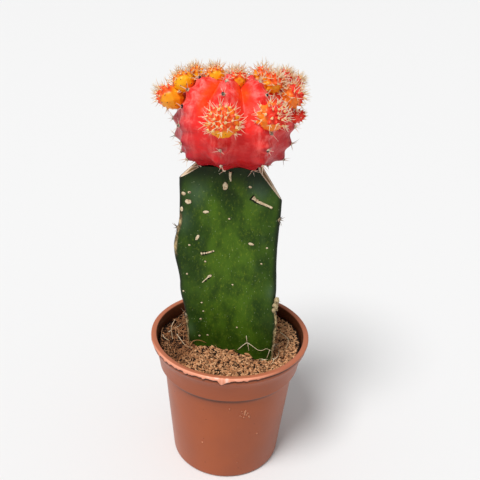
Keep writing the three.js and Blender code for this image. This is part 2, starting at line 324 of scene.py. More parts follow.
class Repeats:
    """Many bent copies of one small shape, gathered in a single mesh.

    Each copy keeps two numbers for the materials: its tint, the same on all of it, and its along,
    which is the height on the shape before it was bent.
    """

    def __init__(self, shape: BMesh) -> None:
        """Starts without any copy.

        Args:
            shape: What is repeated, which is freed.
        """
        stamp(shape, "along", lambda co: co.z)
        stamp(shape, "tint", lambda co: 0.0)
        self.rest = [vertex.co.copy() for vertex in shape.verts]
        self.mesh = stored(shape, "repeat_shape")
        self.bm = bmesh.new()

    def add(self, place: Placing, tint: float) -> None:
        """Adds a copy.

        Args:
            place: Gives a vertex's place in the piece from its place on the shape.
            tint: The number that the copy's vertices keep.
        """
        flat = [value for co in self.rest for value in place(co)]
        self.mesh.vertices.foreach_set("co", flat)
        self.mesh.attributes["tint"].data.foreach_set("value", [tint] * len(self.rest))
        self.bm.from_mesh(self.mesh)

    def gathered(self) -> BMesh:
        """Returns the mesh of all copies, and drops the shape."""
        bpy.data.meshes.remove(self.mesh)
        return self.bm


def bend_along(path: Path, radius: float) -> Placing:
    """Bends a rod along a path.

    Args:
        path: Gives the point of the path at a part of its length.
        radius: The rod's radius at its foot.

    Returns:
        What gives a vertex's place from its place on the straight rod.
    """
    opening, near = 0.05, 0.03
    frames: dict[float, tuple[Vector, Vector, Vector]] = {}
    first = (path(opening) - path(0)).normalized()
    side = first.orthogonal().normalized()

    def place(co: Vector) -> Vector:
        """Bends the rod at a vertex.

        Args:
            co: The vertex's place on the straight rod.

        Returns:
            Its place on the bent rod.
        """
        level = round(co.z, 4)
        if level not in frames:
            low, high = max(0.0, level - near), min(1.0, level + near)
            forwards = (path(high) - path(low)).normalized()
            across = (side - forwards * side.dot(forwards)).normalized()
            frames[level] = (path(level), across, forwards.cross(across))
        middle, across, upwards = frames[level]
        return middle + (across * co.x + upwards * co.y) * radius

    return place


def drooping(foot: Vector, direction: Vector, length: float, sag: Vector) -> Path:
    """Returns the path of a strand that leaves its foot in a direction and curves by a sag."""
    return lambda t: foot + direction * (length * t) + sag * (length * t * t)


def rgba(value: object) -> object:
    """Returns a colour with its alpha, and anything else as it is."""
    return (*value, 1.0) if isinstance(value, tuple) and len(value) == 3 else value


def srgb(red: int, green: int, blue: int) -> Colour:
    """Turns a screen colour into a linear one.

    Args:
        red: Its red, from 0 to 255.
        green: Its green.
        blue: Its blue.

    Returns:
        The linear colour.
    """

    def linear(part: int) -> float:
        """Returns one channel in linear light."""
        share = part / 255
        return share / 12.92 if share <= 0.04045 else ((share + 0.055) / 1.055) ** 2.4

    return (linear(red), linear(green), linear(blue))


class Bench:
    """A node tree that is being wired, with short ways to add and join its nodes."""

    def __init__(self, tree: bpy.types.NodeTree, effects: "Effects | None" = None) -> None:
        """Takes the tree that is wired, and the shared effects if it uses them."""
        self.tree = tree
        self.effects = effects

    def feed(self, end: Socket, value: object) -> None:
        """Joins an input to another node, or sets it.

        Args:
            end: The input.
            value: The other node's socket, or the value.
        """
        if isinstance(value, Socket):
            self.tree.links.new(value, end)
        else:
            end.default_value = value

    def add(self, kind: str, inputs: Inputs | None = None, **settings: object) -> bpy.types.Node:
        """Adds a node.

        Args:
            kind: The node's type.
            inputs: Values or sockets for its inputs, by name or number.
            **settings: Properties of the node.

        Returns:
            The node.
        """
        node = self.tree.nodes.new(kind)
        for key, value in settings.items():
            setattr(node, key, value)
        for key, value in (inputs or {}).items():
            self.feed(node.inputs[key], value)
        return node

    def attribute(self, name: str) -> Socket:
        """Returns the number that the vertices keep under a name."""
        return self.add("ShaderNodeAttribute", attribute_name=name).outputs["Fac"]

    def per_mm(self, stretch: tuple[float, float, float] = (1, 1, 1)) -> Socket:
        """Adds the object's own coordinates in millimetres.

        Args:
            stretch: How much the coordinates grow along the axes, which squeezes a pattern on them.

        Returns:
            The coordinates.
        """
        place = self.add("ShaderNodeTexCoord").outputs["Object"]
        scale = tuple(value / MM for value in stretch)
        return self.add("ShaderNodeMapping", {"Vector": place, "Scale": scale}).outputs["Vector"]

    def math(self, operation: str, a: Number, b: Number, clamp: bool = False) -> Socket:
        """Returns the result of arithmetic on two numbers, held between 0 and 1 if clamped."""
        return self.add("ShaderNodeMath", {0: a, 1: b}, operation=operation, use_clamp=clamp).outputs[0]

    def times(self, a: Number, b: Number) -> Socket:
        """Returns the product of two numbers."""
        return self.math("MULTIPLY", a, b)

    def plus(self, a: Number, b: Number) -> Socket:
        """Returns the sum of two numbers."""
        return self.math("ADD", a, b)

    def band(self, value: Socket, low: Number, high: Number) -> Socket:
        """Returns a smooth rise from 0 to 1 as a number goes from low to high."""
        inputs = {"Value": value, "From Min": low, "From Max": high}
        return self.add("ShaderNodeMapRange", inputs, interpolation_type="SMOOTHSTEP").outputs["Result"]

    def spread(self, value: Socket, low: float, high: float) -> Socket:
        """Returns what goes from low to high as a number goes from 0 to 1."""
        inputs = {"Value": value, "To Min": low, "To Max": high}
        return self.add("ShaderNodeMapRange", inputs).outputs["Result"]

    def noise(self, place: Socket, per_mm: Number, detail: Number = 3, rough: float = 0.55) -> Socket:
        """Returns noise between 0 and 1 with a number of lumps per millimetre."""
        inputs = {"Vector": place, "Scale": per_mm, "Detail": detail, "Roughness": rough}
        return self.add("ShaderNodeTexNoise", inputs).outputs["Fac"]

    def blend(self, share: Socket, a: Colour | Socket, b: Colour | Socket) -> Socket:
        """Mixes two colours.

        Args:
            share: From 0 for the first colour to 1 for the second, and no further.
            a: The first colour.
            b: The second colour.

        Returns:
            The mixed colour.
        """
        node = self.add("ShaderNodeMix", {"Factor": share}, data_type="RGBA")
        ends = [end for end in node.inputs if end.type == "RGBA"]
        for end, colour in zip(ends, (a, b)):
            self.feed(end, rgba(colour))
        return next(socket for socket in node.outputs if socket.type == "RGBA")

    def lay(self, under: Socket, over: Colour | Socket, mask: Socket, strength: float) -> Socket:
        """Returns a colour with another laid over it, as strongly as given where a mask is 1."""
        return self.blend(self.times(mask, strength), under, over)

    def ramp(self, value: Socket, stops: Sequence[tuple[float, Colour]]) -> Socket:
        """Adds a row of colours.

        Args:
            value: What chooses the colour.
            stops: The colours, each with its number, in rising order.

        Returns:
            The colour.
        """
        node = self.add("ShaderNodeValToRGB", {"Fac": value})
        elements = node.color_ramp.elements
        while len(elements) < len(stops):
            elements.new(0.5)
        for element, (position, colour) in zip(elements, stops):
            element.position = position
            element.color = rgba(colour)
        return node.outputs["Color"]

    def speckle(self, place: Socket, per_mm: float, size: float, share: float) -> Socket:
        """Places the shared effect of round specks.

        Args:
            place: The coordinates.
            per_mm: How many cells lie along a millimetre.
            size: The reach of a speck from its middle, in cells.
            share: The part of the cells that hold a speck.

        Returns:
            1 in a speck and 0 between them.
        """
        inputs = {"Place": place, "Per mm": per_mm, "Size": size, "Share": share}
        return self.add("ShaderNodeGroup", inputs, node_tree=self.effects.speckle).outputs["Mask"]

    def mottle(self, place: Socket, per_mm: float, low: float, high: float, detail: float = 3.0) -> Socket:
        """Places the shared effect of soft patches.

        Args:
            place: The coordinates.
            per_mm: How many lumps lie along a millimetre.
            low: The noise below which it is 0.
            high: The noise above which it is 1.
            detail: How finely the patches are broken up.

        Returns:
            From 0 to 1, with few places between them.
        """
        inputs = {"Place": place, "Per mm": per_mm, "Low": low, "High": high, "Detail": detail}
        return self.add("ShaderNodeGroup", inputs, node_tree=self.effects.mottle).outputs["Mask"]


def shared_effect(
    name: str,
    inputs: Mapping[str, float],
    wire: Callable[[Bench, Mapping[str, Socket]], Socket],
) -> bpy.types.NodeTree:
    """Builds a shared effect, which reads a place and some numbers and puts out a mask.

    Args:
        name: The effect's name.
        inputs: Its numbers with their usual values.
        wire: Wires its nodes from what it reads, and returns the mask.

    Returns:
        The effect's group.
    """
    tree = bpy.data.node_groups.new(name, "ShaderNodeTree")
    tree.interface.new_socket("Place", in_out="INPUT", socket_type="NodeSocketVector")
    for key, value in inputs.items():
        socket = tree.interface.new_socket(key, in_out="INPUT", socket_type="NodeSocketFloat")
        socket.default_value = value
    tree.interface.new_socket("Mask", in_out="OUTPUT", socket_type="NodeSocketFloat")
    bench = Bench(tree)
    mask = wire(bench, tree.nodes.new("NodeGroupInput").outputs)
    bench.add("NodeGroupOutput", {"Mask": mask})
    return tree


def wire_speckle(bench: Bench, given: Mapping[str, Socket]) -> Socket:
    """Wires round specks in the middle of some cells.

    Args:
        bench: The effect's nodes.
        given: What the effect reads.

    Returns:
        1 in a speck and 0 between them.
    """
    cells = bench.add("ShaderNodeTexVoronoi", {"Vector": given["Place"], "Scale": given["Per mm"]})
    dot = bench.band(cells.outputs["Distance"], given["Size"], bench.times(given["Size"], 0.6))
    pick = bench.add("ShaderNodeSeparateColor", {0: cells.outputs["Color"]}).outputs["Red"]
    return bench.times(dot, bench.math("LESS_THAN", pick, given["Share"]))


def wire_mottle(bench: Bench, given: Mapping[str, Socket]) -> Socket:
    """Returns noise that is pulled apart into soft patches of 0 and 1."""
    cloud = bench.noise(given["Place"], given["Per mm"], given["Detail"], 0.5)
    return bench.band(cloud, given["Low"], given["High"])


def build_speckle() -> bpy.types.NodeTree:
    """Returns the shared effect of round specks."""
    return shared_effect("speckle", {"Per mm": 0.5, "Size": 0.2, "Share": 0.5}, wire_speckle)


def build_mottle() -> bpy.types.NodeTree:
    """Returns the shared effect of soft patches."""
    return shared_effect("mottle", {"Per mm": 0.3, "Low": 0.4, "High": 0.6, "Detail": 3.0}, wire_mottle)


@dataclass(frozen=True)
class Effects:
    """The shared effects, built once: round specks and soft patches."""

    speckle: bpy.types.NodeTree = field(default_factory=build_speckle)
    mottle: bpy.types.NodeTree = field(default_factory=build_mottle)


@dataclass(frozen=True)
class Gloss:
    """The numbers of a finish that are the same all over it, with its scatter in millimetres."""

    roughness: float = 0.5
    coat: float = 0.0
    coat_roughness: float = 0.3
    translucence: float = 0.0
    scatter: float = 1.0
    sheen: float = 0.0
    specular: float = 0.5


@dataclass(frozen=True)
class Finish:
    """What all finishes share: a name, a gloss, and how far their relief stands out, in millimetres."""

    name: str
    gloss: ClassVar[Gloss] = Gloss()
    bump: ClassVar[float] = 0.0

    def wire(self, bench: Bench) -> Wired:
        """Wires the colours. Each finish has its own way.

        Args:
            bench: The material's nodes.

        Returns:
            Sockets for Base Color, and for Roughness and Height if they vary.
        """
        raise NotImplementedError

    def material(self, effects: Effects) -> bpy.types.Material:
        """Makes the finish's material.

        Args:
            effects: The shared effects.

        Returns:
            The material.
        """
        material = bpy.data.materials.new(self.name)
        material.use_nodes = True
        shader = material.node_tree.nodes["Principled BSDF"]
        bench = Bench(material.node_tree, effects)
        made = self.wire(bench)
        plain = {
            "Roughness": self.gloss.roughness,
            "Coat Weight": self.gloss.coat,
            "Coat Roughness": self.gloss.coat_roughness,
            "Subsurface Weight": self.gloss.translucence,
            "Subsurface Scale": self.gloss.scatter * MM,
            "Sheen Weight": self.gloss.sheen,
            "Specular IOR Level": self.gloss.specular,
            "Base Color": made["Base Color"],
        }
        for key, value in plain.items():
            bench.feed(shader.inputs[key], value)
        if "Roughness" in made:
            bench.feed(shader.inputs["Roughness"], made["Roughness"])
        if "Height" in made:
            raised = bench.add("ShaderNodeBump", {"Height": made["Height"], "Distance": self.bump * MM})
            bench.feed(shader.inputs["Normal"], raised.outputs["Normal"])
        return material


@dataclass(frozen=True)
class PotPlastic(Finish):
    """Satin moulded plastic of a terracotta colour, hardly mottled, with a few specks of dirt."""

    clean: Colour = srgb(166, 86, 50)
    worn: Colour = srgb(156, 82, 52)
    # Painted highlight on the lip, and painted glints by its tongue.
    painted_highlight: Colour = srgb(248, 166, 134)
    painted_glint: Colour = srgb(252, 204, 184)
    # Specks of dirt, and painted shade inside the pot and right below the lip and the ledge.
    dirt_and_shade: Colour = srgb(62, 32, 20)
    pale: Colour = srgb(208, 148, 114)
    gloss: ClassVar[Gloss] = Gloss(coat=0.04, coat_roughness=0.2, specular=0.2)
    bump: ClassVar[float] = 0.02

    def wire(self, bench: Bench) -> Wired:
        """Wires faint patches, the lip's painted highlight and glints, painted shade, specks of dirt and
        fine grain.

        Args:
            bench: The material's nodes.

        Returns:
            Sockets for what varies.
        """
        place = bench.per_mm()
        lip = bench.attribute("lip")
        patches = bench.mottle(place, per_mm=0.05, low=0.3, high=0.7)
        colour = bench.blend(patches, self.clean, self.worn)
        # Painted highlight on the lip, and painted glints where its number passes 1.
        colour = bench.lay(colour, self.painted_highlight, lip, 0.9)
        colour = bench.blend(bench.band(lip, 1.1, 2.1), colour, self.painted_glint)
        # Painted shade inside the pot and right below the lip and the ledge.
        colour = bench.lay(colour, self.dirt_and_shade, bench.attribute("painted_shade"), 0.6)
        specks = bench.speckle(place, per_mm=0.25, size=0.05, share=0.5)
        colour = bench.lay(colour, self.dirt_and_shade, specks, 0.8)
        dust = bench.speckle(place, per_mm=0.5, size=0.06, share=0.4)
        colour = bench.lay(colour, self.pale, dust, 0.5)
        grain = bench.noise(place, 3.0)
        return {"Base Color": colour, "Roughness": bench.spread(grain, 0.3, 0.42), "Height": grain}


@dataclass(frozen=True)
class Coir(Finish):
    """Dry coir and potting mix: golden crumbs, with painted shade nearly black in the gaps. A greater depth
    is darker, also painted shade.
    """

    depth: float
    # Painted shade in the gaps, and more of it with depth.
    dark: Colour = srgb(30, 18, 12)
    middle: Colour = srgb(182, 122, 80)
    light: Colour = srgb(228, 176, 130)
    gloss: ClassVar[Gloss] = Gloss(roughness=0.95, specular=0.15)
    bump: ClassVar[float] = 0.25

    def wire(self, bench: Bench) -> Wired:
        """Wires crumb colours with painted shade in the gaps.

        Args:
            bench: The material's nodes.

        Returns:
            Sockets for what varies.
        """
        cloud = bench.noise(bench.per_mm(), 1.6, 5, 0.7)
        tint = bench.times(bench.attribute("tint"), 0.55)
        value = bench.plus(bench.times(cloud, 0.7), tint)
        # A greater depth darkens it: painted shade.
        value = bench.math("SUBTRACT", value, 0.06 + 0.3 * self.depth)
        colour = bench.ramp(value, [(0.14, self.dark), (0.4, self.middle), (0.85, self.light)])
        return {"Base Color": colour, "Height": cloud}


@dataclass(frozen=True)
class GreenSkin(Finish):
    """Waxy green skin of the rootstock: mottled, with painted shade along its ribs, low down and under the
    head, with bloom and corky edges.
    """

    deep: Colour = srgb(38, 64, 8)
    fresh: Colour = srgb(70, 101, 16)
    yellowish: Colour = srgb(120, 138, 36)
    bloom: Colour = srgb(112, 140, 116)
    # Painted shade towards the ribs' edges and towards the bottom.
    painted_shade_green: Colour = srgb(22, 46, 6)
    # Painted shadow under the head and in the shade spots, and painted shade along the ribs' edges; also
    # the colour of the streaks' dark rims.
    edge: Colour = srgb(14, 22, 10)
    pore: Colour = srgb(176, 186, 146)
    cork: Colour = srgb(196, 172, 126)
    old_cork: Colour = srgb(96, 76, 50)
    gloss: ClassVar[Gloss] = Gloss(coat=0.02, coat_roughness=0.3, specular=0.14)
    bump: ClassVar[float] = 0.08

    def wire(self, bench: Bench) -> Wired:
        """Wires the greens, the bloom, painted shade and shadow, fine pores and the cork by the edges.

        Args:
            bench: The material's nodes.

        Returns:
            Sockets for what varies.
        """
        place = bench.per_mm((1, 1, 0.6))
        rib = bench.attribute("rib")
        high = bench.attribute("high")
        cork = bench.attribute("cork")
        patches = bench.mottle(place, per_mm=0.2, low=0.34, high=0.66, detail=7.0)
        colour = bench.blend(patches, self.deep, self.fresh)
        fine = bench.noise(place, 1.5, 5, 0.7)
        colour = bench.lay(colour, self.yellowish, bench.band(fine, 0.52, 0.7), 0.5)
        clouded = bench.times(bench.band(bench.noise(place, 0.3, 5), 0.5, 0.7), bench.band(rib, 0.35, 0.8))
        upper = bench.plus(bench.band(high, 0.45, 0.95), 0.25)
        dusty = bench.plus(bench.times(bench.times(clouded, upper), 0.2), bench.attribute("dust"))
        colour = bench.lay(colour, self.bloom, dusty, 0.34)
        # Painted shade towards the ribs' edges and towards the bottom.
        sides = bench.times(bench.band(rib, 0.5, 0.95), 0.5)
        low = bench.times(bench.band(high, 0.5, 0.25), 0.42)
        colour = bench.blend(bench.math("MAXIMUM", sides, low), colour, self.painted_shade_green)
        # Painted shadow under the head and in the shade spots, then painted shade right along the ribs'
        # edges.
        top = bench.times(bench.band(high, 0.89, 0.985), 0.85)
        colour = bench.blend(bench.math("MAXIMUM", top, bench.attribute("shade")), colour, self.edge)
        colour = bench.lay(colour, self.edge, bench.band(rib, 0.91, 0.99), 0.85)
        pores = bench.speckle(place, per_mm=1.3, size=0.14, share=0.45)
        colour = bench.lay(colour, self.pore, pores, 0.55)
        cloud = bench.noise(place, 1.2, 5, 0.7)
        dried = bench.blend(bench.band(cloud, 0.4, 0.6), self.old_cork, self.cork)
        colour = bench.blend(cork, colour, dried)
        rough = bench.plus(bench.spread(fine, 0.36, 0.54), bench.times(cork, 0.35))
        raised = bench.plus(fine, bench.times(bench.times(cork, cloud), 4.0))
        return {"Base Color": colour, "Roughness": rough, "Height": raised}


@dataclass(frozen=True)
class Cork(Finish):
    """Dry corky tissue over cuts and scars.

    A dark rim follows the number on the vertices that rim names, if it names one: rim_band is where
    the dark begins to fade and where it has faded. On the scars that rim is painted shade. The cork ends
    where that number, roughened, passes healed, unless healed is 0; inside that lies the heart, painted
    shade.
    """

    pale: Colour = srgb(232, 214, 180)
    brown: Colour = srgb(160, 126, 88)
    # Dark pits, and the dark rim, which on the scars is painted shade.
    pit_and_rim: Colour = srgb(28, 22, 14)
    # The darker heart of a cut: painted shade under the head.
    shaded_heart: Colour = srgb(132, 110, 70)
    rim: str = ""
    rim_band: tuple[float, float] = (0.02, 0.08)
    healed: float = 0.0
    gloss: ClassVar[Gloss] = Gloss(roughness=0.85, specular=0.2)
    bump: ClassVar[float] = 0.2

    def wire(self, bench: Bench) -> Wired:
        """Wires pale cork with brown patches, dark pits, a heart of painted shade and a dark rim.

        Args:
            bench: The material's nodes.

        Returns:
            Sockets for what varies.
        """
        place = bench.per_mm()
        cloud = bench.noise(place, 1.2, 5, 0.7)
        colour = bench.ramp(cloud, [(0.3, self.brown), (0.6, self.pale)])
        pits = bench.speckle(place, per_mm=0.7, size=0.22, share=0.4)
        colour = bench.lay(colour, self.pit_and_rim, pits, 0.9)
        # Inside the healed ring, the heart: painted shade.
        if self.healed:
            ragged = bench.plus(bench.attribute(self.rim), bench.times(cloud, 0.7))
            inside = bench.band(ragged, self.healed + 0.2, self.healed + 0.5)
            colour = bench.blend(inside, colour, self.shaded_heart)
        # The dark rim, which on the scars is painted shade.
        if self.rim:
            colour = bench.blend(bench.band(bench.attribute(self.rim), *self.rim_band), self.pit_and_rim, colour)
        return {"Base Color": colour, "Height": cloud}


@dataclass(frozen=True)
class ScionSkin(Finish):
    """Waxy red skin without leaf green: painted pink highlights on its ribs, orange above, and painted
    shade below: crimson, with mauve and wine at the lower sides.
    """

    red: Colour = srgb(240, 44, 38)
    # Painted shade of the lower part.
    crimson: Colour = srgb(172, 16, 28)
    orange: Colour = srgb(255, 84, 28)
    # Painted highlight along the crests and on the wrinkles.
    highlight_pink: Colour = srgb(255, 124, 116)
    # Painted shade low on the left side and, in wine, low on the right.
    mauve: Colour = srgb(172, 62, 70)
    wine: Colour = srgb(168, 40, 46)
    rim: Colour = srgb(120, 22, 44)
    gloss: ClassVar[Gloss] = Gloss(coat=0.05, coat_roughness=0.25, translucence=0.08, specular=0.15)
    bump: ClassVar[float] = 0.1

    def wire(self, bench: Bench) -> Wired:
        """Wires the colours by height, rib and side, with painted shade below, and painted highlights in
        streaks and on wrinkles.

        Args:
            bench: The material's nodes.

        Returns:
            Sockets for what varies.
        """
        place = bench.per_mm()
        height = bench.attribute("height")
        ridge = bench.attribute("ridge")
        side = bench.attribute("side")
        cloud = bench.noise(place, 0.2, 4, 0.6)
        level = bench.plus(height, bench.times(bench.math("SUBTRACT", cloud, 0.5), 0.5))
        # Crimson low on the head: painted shade of its underside.
        colour = bench.ramp(level, [(0.05, self.crimson), (0.55, self.red), (1.0, self.red)])
        upper = bench.times(bench.band(level, 0.5, 0.85), bench.band(ridge, 0.95, 0.3))
        patch = bench.mottle(place, per_mm=0.13, low=0.4, high=0.6)
        warm = bench.times(upper, bench.math("ADD", patch, 0.3, clamp=True))
        colour = bench.blend(warm, colour, self.orange)
        streaks = bench.noise(bench.per_mm((1, 1, 0.3)), 0.6, 5, 0.7)
        # Pink along the crests, broken into streaks: painted highlight.
        crest = bench.times(bench.band(ridge, 0.35, 0.9), bench.band(streaks, 0.42, 0.66))
        crest = bench.times(crest, bench.band(height, 0.0, 0.6))
        colour = bench.lay(colour, self.highlight_pink, crest, 0.8)
        # Mauve low on the left and wine low on the right: painted shade.
        low = bench.band(height, 0.85, 0.5)
        colour = bench.lay(colour, self.mauve, bench.times(bench.band(side, -0.5, -0.95), low), 0.75)
        colour = bench.lay(colour, self.wine, bench.times(bench.band(side, 0.6, 1.0), low), 0.6)
        teeth = bench.times(bench.band(bench.attribute("tooth"), 0.4, 1.0), bench.band(height, 0.75, 0.35))
        colour = bench.lay(colour, self.rim, teeth, 0.6)
        wrinkles = bench.noise(bench.per_mm((0.85, 0.85, 1.2)), 0.42)
        # Pink on the wrinkles: painted highlight. The wrinkles also raise the bump.
        wrinkle_highlights = bench.times(bench.band(wrinkles, 0.52, 0.68), bench.band(height, 0.1, 0.6))
        colour = bench.lay(colour, self.highlight_pink, wrinkle_highlights, 0.38)
        fine = bench.noise(place, 1.6, 4, 0.6)
        raised = bench.plus(bench.plus(fine, streaks), bench.times(wrinkles, 5.0))
        return {"Base Color": colour, "Roughness": bench.spread(fine, 0.3, 0.46), "Height": raised}


@dataclass(frozen=True)
class OffsetSkin(Finish):
    """Waxy skin of an offset: one colour where it is young, one where it is mellow and one on its studs."""

    young: Colour
    mellow: Colour
    stud: Colour
    gloss: ClassVar[Gloss] = Gloss(
        roughness=0.38, coat=0.08, coat_roughness=0.25, translucence=0.1, scatter=0.8, specular=0.25
    )
    bump: ClassVar[float] = 0.05

    def wire(self, bench: Bench) -> Wired:
        """Wires the colours by the place on the offset.

        Args:
            bench: The material's nodes.

        Returns:
            Sockets for what varies.
        """
        place = bench.per_mm()
        cloud = bench.noise(place, 0.5, 4, 0.6)
        shift = bench.times(bench.math("SUBTRACT", cloud, 0.5), 0.7)
        level = bench.plus(bench.attribute("mellow"), shift)
        colour = bench.blend(bench.band(level, 0.2, 0.7), self.young, self.mellow)
        tips = bench.times(bench.band(bench.attribute("stud"), 0.3, 0.8), bench.band(level, 0.85, 0.35))
        colour = bench.lay(colour, self.stud, tips, 0.9)
        return {"Base Color": colour, "Height": bench.noise(place, 2.0)}


@dataclass(frozen=True)
class Horn(Finish):
    """Thin horny growth, such as a spine or a root: one colour at its foot and another at its tip."""

    foot: Colour
    tip: Colour
    shade: Colour
    gloss: ClassVar[Gloss] = Gloss(roughness=0.45, specular=0.4)

    def wire(self, bench: Bench) -> Wired:
        """Wires the colours along the strand, darker on some strands.

        Args:
            bench: The material's nodes.

        Returns:
            Sockets for what varies.
        """
        colour = bench.blend(bench.band(bench.attribute("along"), 0.1, 0.8), self.foot, self.tip)
        darker = bench.band(bench.attribute("tint"), 0.75, 1.0)
        return {"Base Color": bench.blend(darker, colour, self.shade)}


@dataclass(frozen=True)
class Felt(Finish):
    """Wool of the areoles: cream, with dark old wool where the tint is high."""

    wool: Colour
    old: Colour
    gloss: ClassVar[Gloss] = Gloss(roughness=0.95, sheen=0.3, specular=0.1)
    bump: ClassVar[float] = 0.2

    def wire(self, bench: Bench) -> Wired:
        """Wires cream wool with dark tufts.

        Args:
            bench: The material's nodes.

        Returns:
            Sockets for what varies.
        """
        tufts = bench.noise(bench.per_mm(), 3.0, 4, 0.7)
        level = bench.plus(bench.times(tufts, 0.8), bench.attribute("tint"))
        colour = bench.blend(bench.band(level, 0.8, 1.2), self.wool, self.old)
        return {"Base Color": colour, "Height": tufts}


@dataclass(frozen=True)
class SpineForm:
    """The usual form of an areole's spines: their length, how far they lean and their radius."""

    length: float
    spread: float
    radius: float


class Areoles:
    """The wool and the spines of many areoles, gathered in two meshes."""

    def __init__(self, rng: random.Random, pad: BMesh, spine: BMesh) -> None:
        """Starts without any areole.

        Args:
            rng: The random numbers.
            pad: The shape of a pad of wool, which is freed.
            spine: The shape of a spine, which is freed.
        """
        self.rng = rng
        self.wool = Repeats(pad)
        self.spines = Repeats(spine)

    def tuft(self, foot: Vector, outwards: Vector, size: float, age: float, tall: float = 0.55) -> None:
        """Adds a pad of wool.

        Args:
            foot: The middle of the areole.
            outwards: The way out from it.
            size: The pad's radius.
            age: From 0 for cream wool to 1 for old dark wool.
            tall: The pad's height as a part of its radius.
        """
        side = outwards.orthogonal().normalized()
        up = outwards.cross(side)
        long = self.rng.uniform(0.9, 1.3)

        def place(co: Vector) -> Vector:
            """Returns the place of a vertex of this pad."""
            rough = 1 + 0.25 * lumps(co * 2 + foot, 1.1, 2)
            return foot + (side * co.x * long + up * co.y + outwards * co.z * tall) * size * rough

        self.wool.add(place, age)

    def star(self, foot: Vector, outwards: Vector, count: int, form: SpineForm) -> None:
        """Adds a star of curved spines.

        Args:
            foot: The middle of the areole.
            outwards: The way out from it.
            count: How many spines there are.
            form: Their usual form.
        """
        rng = self.rng
        side = outwards.orthogonal().normalized()
        start = rng.uniform(0, TAU)
        for i in range(count):
            around = start + (i + rng.uniform(-0.3, 0.3)) * TAU / count
            lean = Matrix.Rotation(around, 3, outwards) @ side
            direction = (outwards + lean * form.spread * rng.uniform(0.4, 1.2)).normalized()
            bow = lean * rng.uniform(-0.2, 0.25) + Z_AXIS * rng.uniform(-0.05, 0.15)
            path = drooping(foot - outwards * 0.15, direction, form.length * rng.uniform(0.6, 1.25), bow)
            self.spines.add(bend_along(path, form.radius * rng.uniform(0.8, 1.15)), rng.random())

    def publish(self, name: str, slot: Slot, wool: Felt, horn: Horn, effects: Effects) -> None:
        """Makes the wool and the spines two pieces of the object.

        Args:
            name: What their names start with.
            slot: The record's slot, which is handed on to publish.
            wool: The finish of the wool.
            horn: The finish of the spines.
            effects: The shared effects.
        """
        publish(self.wool.gathered(), f"{name}_areoles", slot, [wool.material(effects)])
        publish(self.spines.gathered(), f"{name}_spines", slot, [horn.material(effects)])


